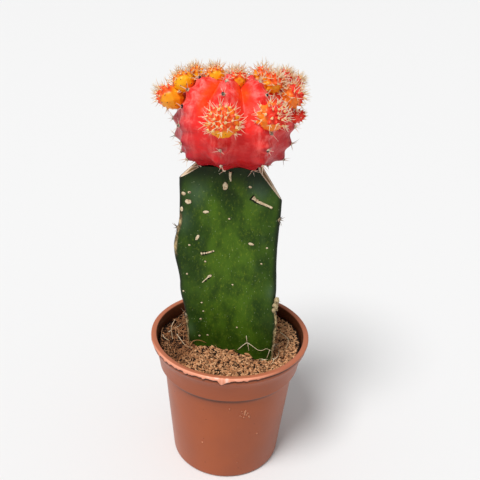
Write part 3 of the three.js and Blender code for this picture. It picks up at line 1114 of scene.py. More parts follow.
@dataclass
class Pot:
    """The thin-walled nursery pot: rolled lip, collar, step and tapering body."""

    rim: float = 27.5
    collar: float = 26.2
    ledge: float = 24.5
    step: float = 22.7
    foot: float = 19.5
    wall: float = 1.1
    rim_level: float = 49.3
    ledge_level: float = 38.4
    step_level: float = 34.4
    inner_level: float = 43.0
    steps: int = 360
    drain_count: int = 6
    drain_radius: float = 2.0
    drain_circle: float = 11.5
    drain_sides: int = 28
    drain_depth: float = 6.0
    ragged_side: float = math.radians(-125)
    ragged_drop: float = 1.2
    tongue_side: float = math.radians(-93)
    tongue_width: float = 0.06
    tongue_drop: float = 0.9
    # The lip's painted highlight: its strongest side, its strength over the rest of the lip's top, and the
    # width of its painted glints.
    highlight_side: float = math.radians(-108)
    plain_lip_highlight: float = 0.24
    glint_width: float = 0.2
    # How strong the painted shade is inside, right below the ledge, and right below the lip from back to
    # front.
    inside_shade: float = 1.36
    ledge_shade: float = 1.35
    lip_shade: tuple[float, float] = (0.8, 1.5)
    warp: float = 0.12
    sharp: float = 40.0
    grit_spots: Spots = (
        (-74, 31.2, 0.9), (-87.6, 33.6, 0.0), (-77.3, 7.7, 0.0), (-60, 20, 0.0), (-112, 16, 0.0),
    )
    grit_count: int = 16
    grit_size: tuple[float, float] = (0.14, 0.38)

    def inside(self, gap: float) -> list[tuple[float, float]]:
        """Works out the inner wall.

        Args:
            gap: How far it is moved inwards.

        Returns:
            Its radii and heights, from the floor to the lip.
        """
        wall = self.wall + gap
        return [
            (self.foot - wall, wall),
            (self.step - wall, self.step_level + 0.8),
            (self.collar - wall, self.inner_level),
            (self.collar - wall + 0.2, self.rim_level - 1.8),
        ]

    def outline(self) -> list[tuple[float, float]]:
        """Works out the pot's closed outline.

        Returns:
            Its radii and heights, from the middle of the underside to the middle of the floor.
        """
        rim, collar, ledge, step, foot = self.rim, self.collar, self.ledge, self.step, self.foot
        top, low, shelf = self.rim_level, self.step_level, self.ledge_level
        outside = [
            # The underside with its rounded edge, and the tapering body.
            (0, 0), (foot - 1.3, 0), (foot - 0.4, 0.3), (foot - 0.1, 0.65), (foot, 1.1),
            (mix(foot, step, 0.33), low * 0.34), (mix(foot, step, 0.67), low * 0.67), (step, low),
            # The step, which flares out to the ledge, and the collar over it.
            (step + 0.15, low + 1.2), (step + 0.35, low + 2.2), (step + 0.75, low + 2.9),
            (ledge - 0.45, shelf - 0.45), (ledge, shelf - 0.25), (ledge + 0.12, shelf),
            (ledge + 0.12, shelf + 0.3), (ledge + 0.6, shelf + 2.8), (collar - 0.7, 43.6),
            (collar - 0.2, 45.2), (collar + 0.4, 46.2), (rim - 0.5, 46.7), (rim - 0.42, 47.1),
            (rim - 0.36, 47.5), (rim - 0.36, 47.8), (rim - 0.36, 48.1), (rim - 0.36, top - 0.95),
            # The lip, which is rolled over the collar.
            (rim - 0.3, top - 0.8), (rim - 0.05, top - 0.74), (rim + 0.04, top - 0.6),
            (rim, top - 0.22), (rim - 0.15, top - 0.05),
            (rim - 0.45, top), (rim - 1.45, top), (rim - 1.72, top - 0.12), (rim - 1.85, top - 0.5),
            (rim - 1.95, top - 1.1),
        ]
        return outside + self.inside(0)[::-1] + [(0, self.wall)]

    def painted_shade(self, place: Vector) -> float:
        """Works out the painted shade at a place: most inside, and right below the lip and the ledge.

        Args:
            place: The place on the pot.

        Returns:
            From 0 where it is unshaded, and above 1 where it is darkest.
        """
        spoke = math.hypot(place.x, place.y)
        low, high, last = self.inside(-0.1)[1:]
        within = mix(low[0], high[0], (place.z - low[1]) / (high[1] - low[1]))
        if place.z > high[1]:
            within = last[0] if place.z < last[1] + 0.1 else self.rim - 1.75
        # Painted shade all over the inside.
        if spoke < within and place.z < self.rim_level - 0.4:
            return self.inside_shade
        # Painted shade in bands right below the ledge and right below the lip's ragged edge.
        below_ledge = self.ledge_shade * smoothstep(place.z, self.step_level + 1.2, self.step_level + 2.4)
        below_ledge *= 1 - smoothstep(place.z, self.ledge_level - 0.4, self.ledge_level - 0.15)
        edge = self.rim_level - 0.95 + self.flash(math.atan2(place.y, place.x))
        below_lip = smoothstep(place.z, edge - 0.9, edge - 0.4)
        below_lip *= 1 - smoothstep(place.z, self.rim_level - 0.85, self.rim_level - 0.75)
        below_lip *= 1 - smoothstep(spoke, self.rim - 0.3, self.rim - 0.1)
        return max(below_ledge, mix(*self.lip_shade, smoothstep(-place.y, 5, 20)) * below_lip)

    def lip(self, place: Vector) -> float:
        """Works out the lip's painted highlight: faint over its top, most on its front edge, with painted
        glints by the tongue.

        Args:
            place: The place on the pot.

        Returns:
            From 0 below the lip, and above 1 in the glints.
        """
        angle = math.atan2(place.y, place.x)
        # Painted highlight, strongest on the front edge, with painted glints by the tongue.
        front = smoothstep(math.cos(angle - self.highlight_side), 0.5, 0.9)
        edge = smoothstep(math.hypot(place.x, place.y), self.rim - 0.5, self.rim - 0.1)
        glints = math.exp(-(((angle - self.tongue_side) / self.glint_width) ** 2))
        glints *= max(0.0, 0.8 + 1.6 * lumps(place, 1.0, 3))
        painted_highlight = mix(self.plain_lip_highlight, 1.0, edge * front) + edge * glints
        return smoothstep(place.z, self.rim_level - 0.78, self.rim_level - 0.5) * painted_highlight

    def mesh(self) -> BMesh:
        """Spins the pot, lets its wall stray a little from a circle and makes its lip ragged.

        Returns:
            The mesh, with its painted shade and its painted highlight kept for the material.
        """
        bm = revolve(self.outline(), self.steps)
        bmesh.ops.subdivide_edges(bm, edges=tall_edges(bm, 3), cuts=5, use_grid_fill=True)
        # Painted shade, kept for the material.
        stamp(bm, "painted_shade", self.painted_shade)
        # Painted highlight of the lip, kept for the material.
        stamp(bm, "lip", self.lip)
        for vertex in bm.verts:
            co = vertex.co
            angle = math.atan2(co.y, co.x)
            if co.length > 1:
                round_out = self.warp * lumps(Vector((math.cos(angle), math.sin(angle), co.z / 60)), 0.6, 2)
                spoke = math.hypot(co.x, co.y)
                grow = 1 + round_out / max(spoke, 1) * smoothstep(co.z, 2, 12)
                co.x *= grow
                co.y *= grow
            if self.rim - 0.2 < math.hypot(co.x, co.y) and co.z < self.rim_level - 0.4:
                co.z += self.flash(angle)
        return bm

    def flash(self, angle: float) -> float:
        """Works out the shape of the lip's ragged lower edge.

        Args:
            angle: The angle round the pot.

        Returns:
            How far the edge is raised there, which is below 0 where it hangs down.
        """
        front = smoothstep(math.cos(angle - self.ragged_side), 0.35, 0.8)
        tongue = math.exp(-(((angle - self.tongue_side) / self.tongue_width) ** 2))
        rough = lumps(turned(angle, self.rim), 1.8, 4)
        return -front * (0.1 + self.ragged_drop * max(0, rough + 0.1)) - self.tongue_drop * tongue

    def grit_mesh(self, rng: random.Random) -> BMesh:
        """Makes the grains that are moulded into the front of the body.

        Args:
            rng: The random numbers.

        Returns:
            Their mesh.
        """
        repeats = Repeats(pebble_shape(2))
        for degrees, height, spread in self.grit_spots:
            for _ in range(self.grit_count if spread else 1):
                angle = math.radians(degrees) + rng.gauss(0, spread) / self.step
                level = height + rng.gauss(0, spread)
                radius = mix(self.foot, self.step, level / self.step_level)
                at = turned(angle, radius, level)
                size = rng.uniform(*self.grit_size)
                repeats.add(lambda co, at=at, size=size: at + co * size, rng.random())
        return repeats.gathered()

    def drain_holes(self, piece: bpy.types.Object) -> None:
        """Cuts the drain holes through the pot's floor.

        Args:
            piece: The pot, which gets a new mesh.
        """
        bm = bmesh.new()
        for i in range(self.drain_count):
            at = turned(i * TAU / self.drain_count, self.drain_circle)
            bmesh.ops.create_cone(
                bm,
                cap_ends=True,
                segments=self.drain_sides,
                radius1=self.drain_radius,
                radius2=self.drain_radius,
                depth=self.drain_depth,
                matrix=Matrix.Translation(at),
            )
        bmesh.ops.scale(bm, vec=(MM, MM, MM), verts=bm.verts)
        cutter = linked("drain_cutters", stored(bm, "drain_cutters"))
        cut = piece.modifiers.new("drain", "BOOLEAN")
        cut.operation = "DIFFERENCE"
        cut.solver = "EXACT"
        cut.object = cutter
        graph = bpy.context.evaluated_depsgraph_get()
        pierced = bpy.data.meshes.new_from_object(piece.evaluated_get(graph))
        piece.modifiers.clear()
        piece.data = pierced
        bpy.data.objects.remove(cutter)

    def build(self, effects: Effects) -> None:
        """Makes the pot and its grit.

        Args:
            effects: The shared effects.
        """
        plastic = PotPlastic("pot_plastic")
        piece = publish(self.mesh(), "pot_shell", Slot.POT, [plastic.material(effects)], ["pot"])
        self.drain_holes(piece)
        piece.data.set_sharp_from_angle(angle=math.radians(self.sharp))
        grit = replace(plastic, name="pot_grit", clean=plastic.pale)
        publish(self.grit_mesh(random.Random(3)), "pot_grit", Slot.POT, [grit.material(effects)])


@dataclass(frozen=True)
class KnifeCut:
    """A slanting cut off the top of a rib: its lower end, how far in it runs and its turn."""

    shoulder: float
    run: float
    turn: float


@dataclass(frozen=True)
class Scar:
    """A corky scar on the front face: its place, its length, its width and its turn in degrees."""

    x: float
    z: float
    long: float
    wide: float
    turn: float = 0.0


@dataclass(frozen=True)
class Streak:
    """A corky line on the front face through some places, with its width."""

    places: Line
    wide: float


SCARS = (
    Scar(-3.4, 105.1, 3.0, 1.9, 90), Scar(4.1, 105.7, 1.1, 0.9), Scar(-16.2, 102.2, 1.7, 1.4),
    Scar(-14.4, 102.8, 1.2, 0.9), Scar(-14.7, 99.7, 2.6, 1.9), Scar(-16.6, 97.0, 1.9, 1.1, 90),
    Scar(-9.0, 96.6, 2.2, 1.1, 5), Scar(-1.8, 94.5, 0.8, 0.7), Scar(-11.5, 88.0, 2.3, 1.1, 60),
    Scar(-13.9, 85.4, 0.8, 0.7), Scar(5.3, 86.9, 2.2, 1.1, -5), Scar(10.3, 86.3, 0.8, 0.6),
    Scar(-8.9, 79.6, 0.8, 0.7), Scar(8.8, 80.6, 0.8, 0.6), Scar(-14.9, 74.7, 0.8, 0.8),
    Scar(-7.5, 74.1, 1.8, 1.1, 30), Scar(0.1, 71.3, 0.8, 0.6), Scar(-16.0, 68.0, 0.8, 0.7),
    Scar(-9.8, 64.0, 0.8, 0.7), Scar(-9.2, 60.6, 0.7, 0.6), Scar(-10.0, 57.4, 0.9, 0.8),
    Scar(2.2, 55.4, 0.7, 0.6), Scar(-10.5, 50.5, 0.8, 0.8), Scar(-7.7, 51.0, 0.8, 0.7),
)
STREAKS = (
    Streak(((-2.0, 109.8), (-2.1, 108.3), (-1.8, 106.8)), 1.0),
    Streak(((5.1, 102.5), (6.4, 101.6), (7.9, 101.0), (9.5, 100.5), (11.0, 99.9)), 1.3),
    Streak(((-10.4, 82.5), (-8.3, 82.8), (-6.2, 83.4)), 0.9),
    Streak(((-7.9, 73.8), (-9.9, 71.7)), 0.4),
)


@dataclass
class Rootstock:
    """The green three-ribbed stem with its cuts, scars, areoles and dried bud."""

    x: float = -0.3
    y: float = 1.5
    bottom: float = 26.0
    top: float = 111.2
    inradius: float = 8.0
    tip_rounding: float = 0.1
    first_rib: float = math.radians(203)
    third: float = TAU / 3
    columns: int = 264
    rows: int = 180
    crowding: float = 0.16
    ribs: tuple[Line, ...] = (
        ((26, 14.6), (45, 15.3), (57, 16.0), (70, 18.4), (84, 20.3), (95, 18.5), (108, 18.9), (113, 18.9)),
        ((26, 17.4), (45, 18.8), (57, 19.3), (69, 17.9), (81, 17.2), (94, 17.3), (104, 17.5), (113, 17.5)),
        ((26, 14.5), (45, 16.6), (60, 18.4), (74, 18.9), (88, 18.0), (98, 18.3), (106, 18.4), (113, 18.4)),
    )
    cuts: tuple[KnifeCut, ...] = (
        KnifeCut(106.8, 6.6, math.radians(-20)),
        KnifeCut(102.3, 7.4, math.radians(38)),
        KnifeCut(104.5, 7.0, 0.0),
    )
    areoles: tuple[tuple[int, float], ...] = ((0, 90.5), (0, 58), (1, 96), (1, 50.5), (2, 92), (2, 66))
    bud_rib: int = 1
    bud_level: float = 66.5
    bud_size: tuple[float, float] = (1.1, 2.2)
    bud_lumps: int = 16
    spine_form: SpineForm = SpineForm(2.4, 1.2, 0.16)
    bud_spine_form: SpineForm = SpineForm(1.6, 1.0, 0.1)
    front_span: tuple[float, float] = (math.radians(204), math.radians(322))
    swelling: float = 0.3
    ripple: float = 0.06
    cork_spans: tuple[Line, ...] = (
        ((26.0, 59.0), (83.0, 98.0)), ((26.0, 66.0),), ((26.0, 52.0),),
    )
    cork_width: float = 0.014
    cork_proud: float = 0.18
    shading: float = 0.5
    bloom_spots: Spots = (
        (12.8, 70.9, 1.9), (-14.0, 52.8, 1.9), (-16.2, 93.4, 2.6), (-12.5, 103.5, 3.0), (7.0, 106.0, 3.0),
    )
    shade_spots: Spots = (
        (-2.6, 108.0, 3.4), (-2.2, 103.5, 2.4), (12.5, 58.0, 3.6), (-13.5, 48.0, 2.2),
    )
    cork_turns: tuple[float, float, float] = (0.034, -0.01, 0.0)
    cut_depth: float = 0.45
    sharp: float = 50.0
    plain_scars: int = 26
    plain_scar_levels: tuple[float, float] = (50, 98)
    scar_size: float = 0.94
    scar_proud: float = 0.22

    def rib_edge(self, rib: int, height: float) -> float:
        """Works out how far a rib's edge is from the axis.

        Args:
            rib: The rib's number.
            height: The height.

        Returns:
            The distance.
        """
        points = self.ribs[rib]
        i = 0
        while i < len(points) - 2 and height > points[i + 1][0]:
            i += 1
        (z0, r0), (z1, r1) = points[i], points[i + 1]
        return mix(r0, r1, smoothstep(height, z0, z1))

    def nearest(self, angle: float) -> tuple[int, float]:
        """Finds the nearest rib.

        Args:
            angle: The angle round the axis.

        Returns:
            The rib's number, and the angle from it.
        """
        from_first = (angle - self.first_rib + self.third / 2) % TAU
        rib = min(2, int(from_first / self.third))
        return rib, from_first - rib * self.third - self.third / 2

    def radius(self, angle: float, height: float) -> float:
        """Works out how far the stem's surface is from its axis.

        Args:
            angle: The angle round the axis.
            height: The height.

        Returns:
            The distance.
        """
        rib, off = self.nearest(angle)
        half = self.third / 2

        def bend(a: float) -> float:
            """Returns an angle with its sharp turn at zero rounded."""
            return math.sqrt(a * a + self.tip_rounding**2)

        def rise(a: float) -> float:
            """Returns how far a flat face stands beyond its nearest point."""
            return 1 / math.cos(half - a) - 1

        share = rise(bend(off) * half / bend(half)) / rise(bend(0) * half / bend(half))
        return self.inradius + (self.rib_edge(rib, height) - self.inradius) * share

    def surface(self, angle: float, height: float, proud: float = 0.0) -> Vector:
        """Returns a point on the stem's surface, or proud of it."""
        return Vector((self.x, self.y, 0)) + turned(angle, self.radius(angle, height) + proud, height)

    def grown(self, angle: float, height: float, proud: float = 0.0) -> Vector:
        """Finds a point on the stem's skin, with its swellings.

        Args:
            angle: The angle round the axis.
            height: The height.
            proud: How far off the skin it is.

        Returns:
            The point.
        """
        place = self.surface(angle, height)
        relief = self.swelling * lumps(place, 16, 2) + self.ripple * lumps(place, 3.5, 3)
        return self.surface(angle, height, relief + proud)

    def front(self, x: float, z: float, proud: float = 0.0) -> Vector:
        """Finds a point on the skin of the front face.

        Args:
            x: How far to the right it is.
            z: The height.
            proud: How far off the skin it is.

        Returns:
            The point.
        """
        low, high = self.front_span
        for _ in range(16):
            middle = (low + high) / 2
            if self.surface(middle, z).x < x:
                low = middle
            else:
                high = middle
        return self.grown(low, z, proud)

    def on_rib(self, rib: int, height: float) -> tuple[Vector, Vector]:
        """Returns a point on a rib's edge and the way out from it."""
        angle = self.first_rib + rib * self.third
        return self.surface(angle, height), turned(angle)

    def corked(self, rib: int, off: float, place: Vector) -> float:
        """Works out how corky the skin is: parts of the ribs' edges have dried.

        Args:
            rib: The nearest rib.
            off: The angle from it.
            place: The place on the stem.

        Returns:
            From 0 where it is green to 1 where it is cork.
        """
        level = place.z - 2 * lumps(place, 3, 2)
        wide = self.cork_width + self.cork_width * lumps(place + Z_AXIS * 30, 2.5, 3)
        dried = max(
            smoothstep(level, low - 2, low) * (1 - smoothstep(level, high - 2, high))
            for low, high in self.cork_spans[rib]
        )
        return dried * (1 - smoothstep(abs(off - self.cork_turns[rib]), wide, wide + self.cork_width))

    def spotted(self, place: Vector, spots: Spots) -> float:
        """Works out the soft spots of the front face.

        Args:
            place: The place on the stem.
            spots: Each spot's place from the left, height and size.

        Returns:
            From 0 far from them to 1 in their middle.
        """
        if place.y > self.y:
            return 0.0
        near = (math.hypot(place.x - x, (place.z - z) * 0.7) / size for x, z, size in spots)
        return math.exp(-(min(near) ** 2))

    def skin(self) -> BMesh:
        """Makes the stem's skin, cut back at the top, with the cut faces marked as cork.

        Returns:
            The mesh, with what the material reads kept on its vertices.
        """
        bm = rod(self.columns, self.rows)
        layers = number_layers(bm, "rib", "high", "cork", "dust", "shade", "inner")
        rib_layer, high_layer, cork_layer, dust_layer, shade_layer, _ = layers
        for vertex in bm.verts:
            even = math.atan2(vertex.co.y, vertex.co.x)
            angle = even - self.crowding * math.sin(3 * even) + self.first_rib
            height = mix(self.bottom, self.top, vertex.co.z + 0.5)
            rib, off = self.nearest(angle)
            place = self.surface(angle, height)
            cork = self.corked(rib, off, place)
            vertex[rib_layer] = 1 - abs(off) / (self.third / 2)
            vertex[high_layer] = (height - self.bottom) / (self.top - self.bottom)
            vertex[cork_layer] = cork
            vertex[dust_layer] = self.spotted(place, self.bloom_spots)
            vertex[shade_layer] = self.shading * self.spotted(place, self.shade_spots)
            vertex.co = self.grown(angle, height, self.cork_proud * cork)
        for rib, cut in enumerate(self.cuts):
            self.slice_off(bm, rib, cut)
        return recalculated(bm)

    def slice_off(self, bm: BMesh, rib: int, cut: KnifeCut) -> None:
        """Cuts back the top of one rib and closes the cut with a sunken face of cork.

        Args:
            bm: The stem's mesh.
            rib: The rib's number.
            cut: The cut.
        """
        point, outwards = self.on_rib(rib, cut.shoulder)
        facing = Matrix.Rotation(cut.turn, 3, "Z") @ outwards
        slope = (facing * -cut.run + Z_AXIS * (self.top - cut.shoulder)).normalized()
        away = Z_AXIS.cross(facing).cross(slope)
        geometry = [*bm.verts, *bm.edges, *bm.faces]
        made = bmesh.ops.bisect_plane(
            bm, geom=geometry, plane_co=point, plane_no=away, clear_outer=True, dist=SEAM / 10
        )
        rim = [item for item in made["geom_cut"] if isinstance(item, bmesh.types.BMEdge)]
        closed = bmesh.ops.edgenet_fill(bm, edges=rim)["faces"]
        fan = bmesh.ops.poke(bm, faces=closed)
        layer = bm.verts.layers.float["inner"]
        for vertex in fan["verts"]:
            vertex[layer] = 1
            vertex.co -= away.normalized() * self.cut_depth
        for face in fan["faces"]:
            face.material_index = 1

    def scar_form(
        self,
        centre: Callable[[float, float, float], Vector],
        long: float,
        wide: float,
        turn: float,
    ) -> Placing:
        """Lays a pebble on the skin as a ragged scar.

        Args:
            centre: Gives the skin's point at a place from the scar's middle, and so much proud of it.
            long: The scar's length.
            wide: Its width.
            turn: Its turn on the skin.

        Returns:
            What gives a vertex's place on the scar from its place on the pebble.
        """
        slant = Matrix.Rotation(turn, 2)
        seed = centre(0, 0, 0)

        def place(co: Vector) -> Vector:
            """Lays a vertex on the skin.

            Args:
                co: The vertex's place on the pebble.

            Returns:
                Its place on the scar.
            """
            rough = 1 + 0.3 * lumps(seed + co * 1.4, 0.9, 2)
            flat = slant @ Vector((co.x * long / 2, co.y * wide / 2)) * rough * self.scar_size
            return centre(flat.x, flat.y, co.z * self.scar_proud * rough - 0.04)

        return place

    def scar_mesh(self, rng: random.Random) -> BMesh:
        """Makes the corky scars: those that were seen on the front, and chance ones on the other faces.

        Args:
            rng: The random numbers.

        Returns:
            Their mesh.
        """
        repeats = Repeats(pebble_shape(3))
        for scar in SCARS:
            form = self.scar_form(
                lambda x, z, proud, s=scar: self.front(s.x + x, s.z + z, proud),
                scar.long,
                scar.wide,
                math.radians(scar.turn),
            )
            repeats.add(form, rng.random())
        for _ in range(self.plain_scars):
            angle = self.first_rib + self.third * rng.choice((1, 2)) + self.third * rng.uniform(0.2, 0.8)
            height = rng.uniform(*self.plain_scar_levels)
            form = self.scar_form(
                lambda x, z, proud, a=angle, h=height: self.grown(a + x / self.inradius, h + z, proud),
                rng.uniform(0.6, 2.2),
                rng.uniform(0.5, 1.1),
                rng.uniform(0, math.pi),
            )
            repeats.add(form, rng.random())
        return repeats.gathered()

    def streak_mesh(self, rng: random.Random, widen: float, proud: float) -> BMesh:
        """Makes the corky lines on the front face, or their dark rims.

        Args:
            rng: The random numbers.
            widen: How much thicker than the lines they are.
            proud: How far off the skin they lie.

        Returns:
            Their mesh.
        """
        repeats = Repeats(strand_shape(6, 24, 0.5))
        for streak in STREAKS:
            flat = [Vector((x, z, 0)) for x, z in streak.places]

            def path(t: float, flat: list[Vector] = flat) -> Vector:
                """Returns the point of the line at a part of its length."""
                at = along(flat, t)
                return self.front(at.x, at.y, proud)

            thick = bend_along(path, streak.wide / 2 + widen)

            def place(co: Vector) -> Vector:
                """Returns the place of a vertex, rougher towards the line's ends."""
                full = 1 + 0.35 * lumps(Vector((co.z * 9, streak.wide, 0)), 1, 2)
                return thick(Vector((co.x * full, co.y * full, co.z)))

            repeats.add(place, rng.random())
        return repeats.gathered()

    def bud_mesh(self, rng: random.Random) -> BMesh:
        """Makes the dried bud on a rib: a clump of corky lumps.

        Args:
            rng: The random numbers.

        Returns:
            Its mesh.
        """
        repeats = Repeats(pebble_shape(3))
        foot, outwards = self.on_rib(self.bud_rib, self.bud_level)
        wide, tall = self.bud_size
        for _ in range(self.bud_lumps):
            right, back = rng.uniform(-0.6, 0.6) * wide, rng.uniform(-0.6, 0.6) * wide
            nudge = Vector((right, back, rng.uniform(-1.1, 0.8) * tall))
            size = rng.uniform(0.35, 0.7) * wide
            at = foot + nudge + outwards * 0.2

            def place(co: Vector) -> Vector:
                """Returns the place of a vertex of this lump."""
                return at + Vector((co.x, co.y, co.z * 1.3)) * size * (1 + 0.35 * lumps(at + co, 0.8, 3))

            repeats.add(place, rng.random())
        return repeats.gathered()

    def dress(self, areoles: Areoles) -> None:
        """Adds the areoles along the ribs, and the bud's spines.

        Args:
            areoles: Where they are gathered.
        """
        for rib, height in self.areoles:
            foot, outwards = self.on_rib(rib, height)
            areoles.tuft(foot, outwards, 0.75, 0.3)
            areoles.star(foot, outwards, areoles.rng.randint(4, 6), self.spine_form)
        foot, outwards = self.on_rib(self.bud_rib, self.bud_level + 1)
        areoles.star(foot + outwards, outwards, 4, self.bud_spine_form)

    def build(self, effects: Effects) -> None:
        """Makes the stem with all that has grown on it.

        Args:
            effects: The shared effects.
        """
        rng = random.Random(11)
        # Inside its healed ring, the sunk cut face shows its heart: painted shade under the head.
        cut = Cork(
            "cut_cork",
            pale=srgb(246, 230, 202),
            brown=srgb(196, 164, 126),
            rim="inner",
            rim_band=(0.03, 0.12),
            healed=0.5,
        )
        skins = [GreenSkin("rootstock_skin").material(effects), cut.material(effects)]
        publish(self.skin(), "rootstock_skin", Slot.ROOTSTOCK, skins, ["rootstock"], self.sharp)
        grown = (
            # The dark rim round the foot of each scar is painted shade.
            ("rootstock_scars", self.scar_mesh(rng), Cork("scar_cork", rim="along", rim_band=(0.36, 0.6))),
            ("rootstock_streaks", self.streak_mesh(rng, 0.0, 0.04), Cork("cork")),
            # Dark strands sunk below the corky lines, whose edges show round them as painted shade.
            (
                "rootstock_streak_rims",
                self.streak_mesh(rng, 0.45, -0.66),
                Cork("streak_rim", pale=GreenSkin.edge, brown=GreenSkin.edge),
            ),
            (
                "rootstock_bud",
                self.bud_mesh(rng),
                Cork("bud_cork", pale=srgb(196, 178, 138), brown=srgb(112, 88, 58)),
            ),
        )
        for name, bm, finish in grown:
            publish(bm, name, Slot.ROOTSTOCK, [finish.material(effects)])
        areoles = Areoles(rng, pebble_shape(2), strand_shape(4, 4, 0.1, 1.5))
        self.dress(areoles)
        wool = Felt("stem_wool", srgb(150, 132, 104), srgb(28, 22, 18))
        horn = Horn("stem_spine", srgb(60, 46, 38), srgb(140, 116, 92), srgb(30, 24, 22))
        areoles.publish("rootstock", Slot.ROOTSTOCK, wool, horn, effects)


SOIL_ROOTS = (
    ((-23.8, 0.6), (-23.0, -1.3), (-21.2, -3.3)),
    ((-20.6, 11.0), (-21.4, 7.5), (-21.1, 3.6), (-20.0, -2.2)),
    ((-18.9, 1.5), (-16.8, -3.4), (-14.9, -6.6), (-12.6, -8.0)),
    ((13.0, -9.6), (12.0, -9.9), (10.3, -10.6)),
    ((14.6, -9.2), (15.0, -10.4), (14.9, -11.6), (14.0, -13.2)),
    ((11.1, -10.4), (13.9, -10.2)),
    ((15.0, -10.6), (16.6, -8.6), (17.2, -5.2)),
    ((-22.0, 3.0), (-18.6, 8.0), (-16.0, 14.0)),
    ((18.0, 4.0), (20.6, 0.0), (19.6, -5.0)),
)
STEM_ROOTS = (
    (
        (2.8, 46.7), (5.0, 49.8), (6.0, 50.4), (7.6, 49.6),
        (9.4, 48.5), (11.0, 48.6), (12.4, 49.5), (14.6, 48.2),
    ),
    ((5.4, 53.1), (5.7, 50.8)),
    ((6.0, 49.9), (6.5, 47.4)),
    ((13.4, 49.0), (13.0, 47.2), (12.6, 45.6)),
)
BARK_CHIPS = ((6.4, -8.4, 1.6), (0.6, -8.3, 0.9), (-11.0, -16.0, 1.0), (17.0, 9.0, 1.3), (-6.0, 19.0, 1.4))


